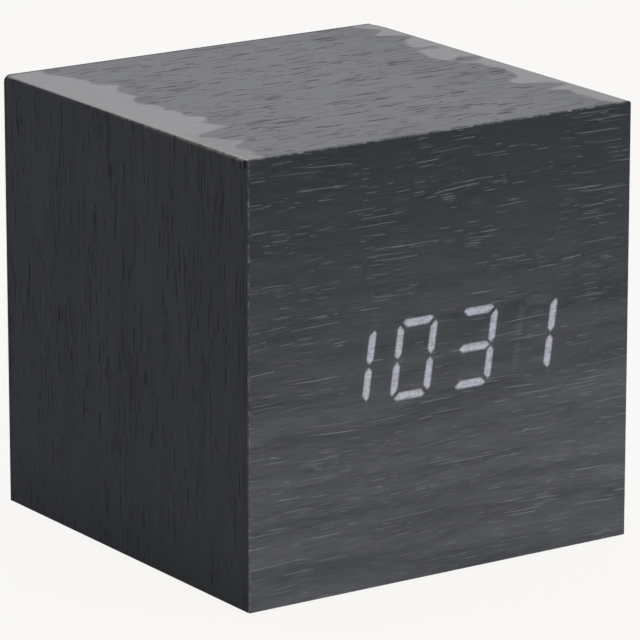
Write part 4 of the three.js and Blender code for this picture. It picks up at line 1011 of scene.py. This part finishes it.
# Power inlet: a drawn steel shell round a black tongue, on a black foot. It is soldered on the main board and
# sits deep in the plug's pocket.
INLET_FOOT_Y = 28.65
TONGUE_X = (-13.45, -8.55)
TONGUE_Z = (41.1, 41.88)
INLET_EDGE = 0.1 * MM


def inlet_material():
    material, shader, metal, _, (x, y, z) = plated("power_inlet", NICKEL, 0.25)
    plastic = highest(inside(x, *TONGUE_X) * inside(z, *TONGUE_Z), y < INLET_FOOT_Y)
    give(shader, Base_Color=mix(plastic, metal, SWITCH_BLACK), Metallic=1.0 - plastic)
    return material


inlet = refined("power_inlet", "power_socket", INLET_EDGE)
dress(inlet_material(), inlet)
stand_for(inlet, "steel", "housing", "power_socket")

# Microphone, buzzer and backup cell: bought parts in their own cans and cups, soldered or clipped on the main
# board.
dress(steel, "microphone")
dress(switch_black, "buzzer", "backup_cell_holder")
dress(plated("coin_cell", STEEL, 0.2)[0], "backup_cell")

# Base plate: one moulding that closes the underside, with the battery well standing on its inner face.
# Its visible face has the fine spark-cut grain of a mould.
BASE_BLACK = (0.016, 0.017, 0.019, 1)
BASE_EDGE = 0.15 * MM
base_black = moulded("base_black", BASE_BLACK, 0.55, grain=0.45, relief=0.6, contrast=0.3)[0]
base_tray = refined("base_tray", "base_plate", BASE_EDGE)
dress(base_black, base_tray)
stand_for(base_tray, "base_plastic", "housing", "base_plate")

# Battery door: a flat lid of the same plastic in the base plate, hung on two toes and held by a sprung tongue
# with grip ridges.
DOOR_EDGE = 0.12 * MM
battery_lid = refined("battery_lid", "battery_door", DOOR_EDGE)
dress(base_black, battery_lid)
stand_for(battery_lid, "base_plastic", "door", "battery_door")

# Base screws: four plated screws with a cross recess, sunk in the base plate's corners. They are one screw,
# set at the four corners by a node tree.
SCREW_SHANK = 1.1
SCREW_CORE = 0.88
# The head's outline as radius and distance from its face, up to the shank.
SCREW_HEAD = ((0, 0), (1.95, 0), (2.3, 0.12), (2.5, 0.45), (2.5, 1.3), (SCREW_SHANK, 1.3))
THREAD_START = 1.6
THREAD_PITCH = 0.5
THREAD_STOP = 1.4
SCREW_TIP = 1.0
RECESS_ARM = 0.75
RECESS_SPAN = 2.9
RECESS_DEPTH = 0.75


def recess_cutter():
    """Two crossed bars that reach into a screw's head from outside."""
    build = bmesh.new()
    for width, depth in ((RECESS_ARM, RECESS_SPAN), (RECESS_SPAN, RECESS_ARM)):
        bar = bmesh.ops.create_cube(build, size=1.0)["verts"]
        size = Vector((width, depth, RECESS_DEPTH * 2))
        bmesh.ops.scale(build, vec=size * MM, verts=bar)
    return new_object("recess", keep(build, bpy.data.meshes.new("recess")))


def cross_screw(length):
    """One screw with its head down, at the origin: the recess is cut out of the turned blank."""
    points, along = list(SCREW_HEAD), THREAD_START
    while along < length - THREAD_STOP:
        points += [(SCREW_CORE, along), (SCREW_SHANK, along + THREAD_PITCH / 2)]
        along += THREAD_PITCH
    points += [(SCREW_CORE, length - SCREW_TIP), (0, length)]
    blank = turned("screw_blank", points, (0, 0, 0), "Z", 32)
    cutter = recess_cutter()
    set_up(blank.modifiers.new("recess", "BOOLEAN"), object=cutter, solver="EXACT", use_self=True)
    made = as_mesh("cross_screw", blank)
    bpy.data.objects.remove(cutter)
    return made


def set_at_corners():
    """Sets one part at the four corners of a rectangle."""
    tree, given, leave = new_group("set_at_corners", "Part:Object Width Depth Middle:Vector",
                                   "Geometry:Geometry", "GeometryNodeTree")

    def then(kind, **inputs):
        made = node(tree, kind, family="GeometryNode")
        give(made.inputs, **inputs)
        return made.outputs[0]

    grid = then("MeshGrid", Size_X=given["Width"], Size_Y=given["Depth"], Vertices_X=2, Vertices_Y=2)
    placed = then("Transform", Geometry=grid, Translation=given["Middle"])
    part = node(tree, "ObjectInfo", {"Object": given["Part"]}, "GeometryNode").outputs["Geometry"]
    copies = then("InstanceOnPoints", Points=placed, Instance=part)
    give(leave, Geometry=then("RealizeInstances", Geometry=copies))
    return tree


def grown_at_corners(name, part, finish, width, depth, middle):
    """Lets the tree set the part at the corners, and keeps the result as a plain mesh."""
    holder = new_object(name, bpy.data.meshes.new(name))
    growing = holder.modifiers.new(name, "NODES")
    growing.node_group = set_at_corners_tree
    sizes = {"Part": part, "Width": width, "Depth": depth, "Middle": middle}
    for label, value in sizes.items():
        growing[set_at_corners_tree.interface.items_tree[label].identifier] = value
    piece = as_mesh(name, holder)
    bpy.data.objects.remove(part)
    dress(finish, piece)
    return piece


set_at_corners_tree = set_at_corners()
near_low, near_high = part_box("base_screw_1")
far_low, far_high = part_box("base_screw_3")
base_screws = grown_at_corners(
    "base_screws", cross_screw((near_high.z - near_low.z) / MM), steel,
    far_high.x + far_low.x,
    (far_high.y + far_low.y - near_high.y - near_low.y) / 2,
    (0.0, (far_high.y + near_low.y) / 2, near_low.z))
stand_for(base_screws, "steel", "housing", *[f"base_screw_{index}" for index in (1, 2, 3, 4)])

# Feet: four soft rubber discs with a rounded edge and a slightly hollow middle, glued under the rim's corners
# and set by the same node tree.
RUBBER_BLACK = (0.016, 0.016, 0.017, 1)
FOOT_WIDTH = 5.2 * MM
# The foot's outline as radius and height, from its hollow underside to its glued face.
FOOT_OUTLINE = ((0, 0.05), (1.3, 0.05), (1.612, 0), (2.3, 0), (2.51, 0.09), (2.6, 0.3), (2.6, 0.7), (0, 0.7))
near_y, (far_x, far_y, _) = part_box("foot_1")[0].y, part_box("foot_3")[1]
rubber = moulded("rubber", RUBBER_BLACK, 0.85, grain=0.5, relief=0.5, contrast=0.2)[0]
feet = grown_at_corners(
    "rubber_feet", turned("foot_part", FOOT_OUTLINE, (0, 0, 0), "Z", 48), rubber,
    far_x * 2 - FOOT_WIDTH, far_y - near_y - FOOT_WIDTH, (0.0, (far_y + near_y) / 2, 0.0))
stand_for(feet, "rubber", "housing", *[f"foot_{index}" for index in (1, 2, 3, 4)])

# Cells: four plain cells, each a steel can with its nub and its flat end bare and a shrunk sleeve round it.
# They lie side by side in the well, with every other one turned round.
SLEEVE_BLUE = (0.06, 0.13, 0.24, 1)
SLEEVE_INSET = 0.9
SHOULDER = 0.8
CELL_RADIUS = 5.25
# The can's outline as radius and distance in from its flat end, then from its nub's end.
FLAT_END = ((0, 0.3), (3.3, 0.3), (3.5, 0.0), (4.5, 0.0), (5.0, 0.15), (CELL_RADIUS, 0.6))
NUB_END = ((CELL_RADIUS, 1.6), (5.0, 1.15), (4.5, 1.0), (2.0, 1.0), (1.9, 0.9), (1.9, 0.15), (1.7, 0), (0, 0))


def sleeve_material(name, low, high):
    material, shader, metal, place, (_, y, _) = plated(name, NICKEL, 0.22)
    bare = highest(y < low.y + SLEEVE_INSET, y > high.y - SLEEVE_INSET - SHOULDER)
    blue = mix(spread(noise(place, 2.5), 0.3, 0.7), shade(SLEEVE_BLUE, 0.93), shade(SLEEVE_BLUE, 1.1))
    give(shader, Base_Color=mix(bare, blue, metal), Metallic=spread(bare, 0.0, 1.0, 0.25, 1.0))
    return material


for index in (1, 2, 3, 4):
    low, high = (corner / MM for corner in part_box(f"battery_{index}"))
    half, turn = (high.y - low.y) / 2, (1, -1)[index % 2]
    profile = [(radius, turn * (off - half)) for radius, off in FLAT_END]
    profile += [(radius, turn * (half - off)) for radius, off in NUB_END]
    cell = turned(f"cell_{index}", profile, (low + high) / 2)
    dress(sleeve_material(f"cell_sleeve_{index}", low, high), cell)
    stand_for(cell, "cell_jacket", "housing", f"battery_{index}")

# Contacts: stamped nickel-plated strips with a pressed bump or a wound spring for each cell, slid into the
# slots of the well.
dress(plated("nickel", NICKEL, 0.24)[0],
      "contact_negative", "contact_link_1", "contact_link_2", "contact_link_3", "contact_positive")

# Leads and ribbon: two insulated wires from the cells to the main board, and a grey ribbon with one red edge
# between the boards.
RED = (0.42, 0.014, 0.012, 1)
BLACK = (0.012, 0.012, 0.013, 1)
RIBBON_GREY = (0.36, 0.37, 0.38, 1)
RIBBON_X = -7.0
STRAND_PITCH = 1.1
RED_STRANDS_END = -2.0


def ribbon_material():
    material, shader, grey, _, (x, _, _) = moulded("ribbon", RIBBON_GREY, 0.5, grain=0.2)
    strand = (x - RIBBON_X) / STRAND_PITCH
    # Painted shade: the grooves between the strands are painted darker.
    groove_shade = spread(abs(calc("FRACT", strand) - 0.5), 0.36, 0.5)
    marked = mix(strand < RED_STRANDS_END, grey, RED)
    give(shader, Base_Color=mix(groove_shade * 0.7, marked, shade(RIBBON_GREY, 0.3)))
    return material


dress(moulded("red_wire", RED, 0.4, grain=0.2)[0], "battery_lead_red")
dress(moulded("black_wire", BLACK, 0.4, grain=0.2)[0], "battery_lead_black")
dress(ribbon_material(), "ribbon_cable")
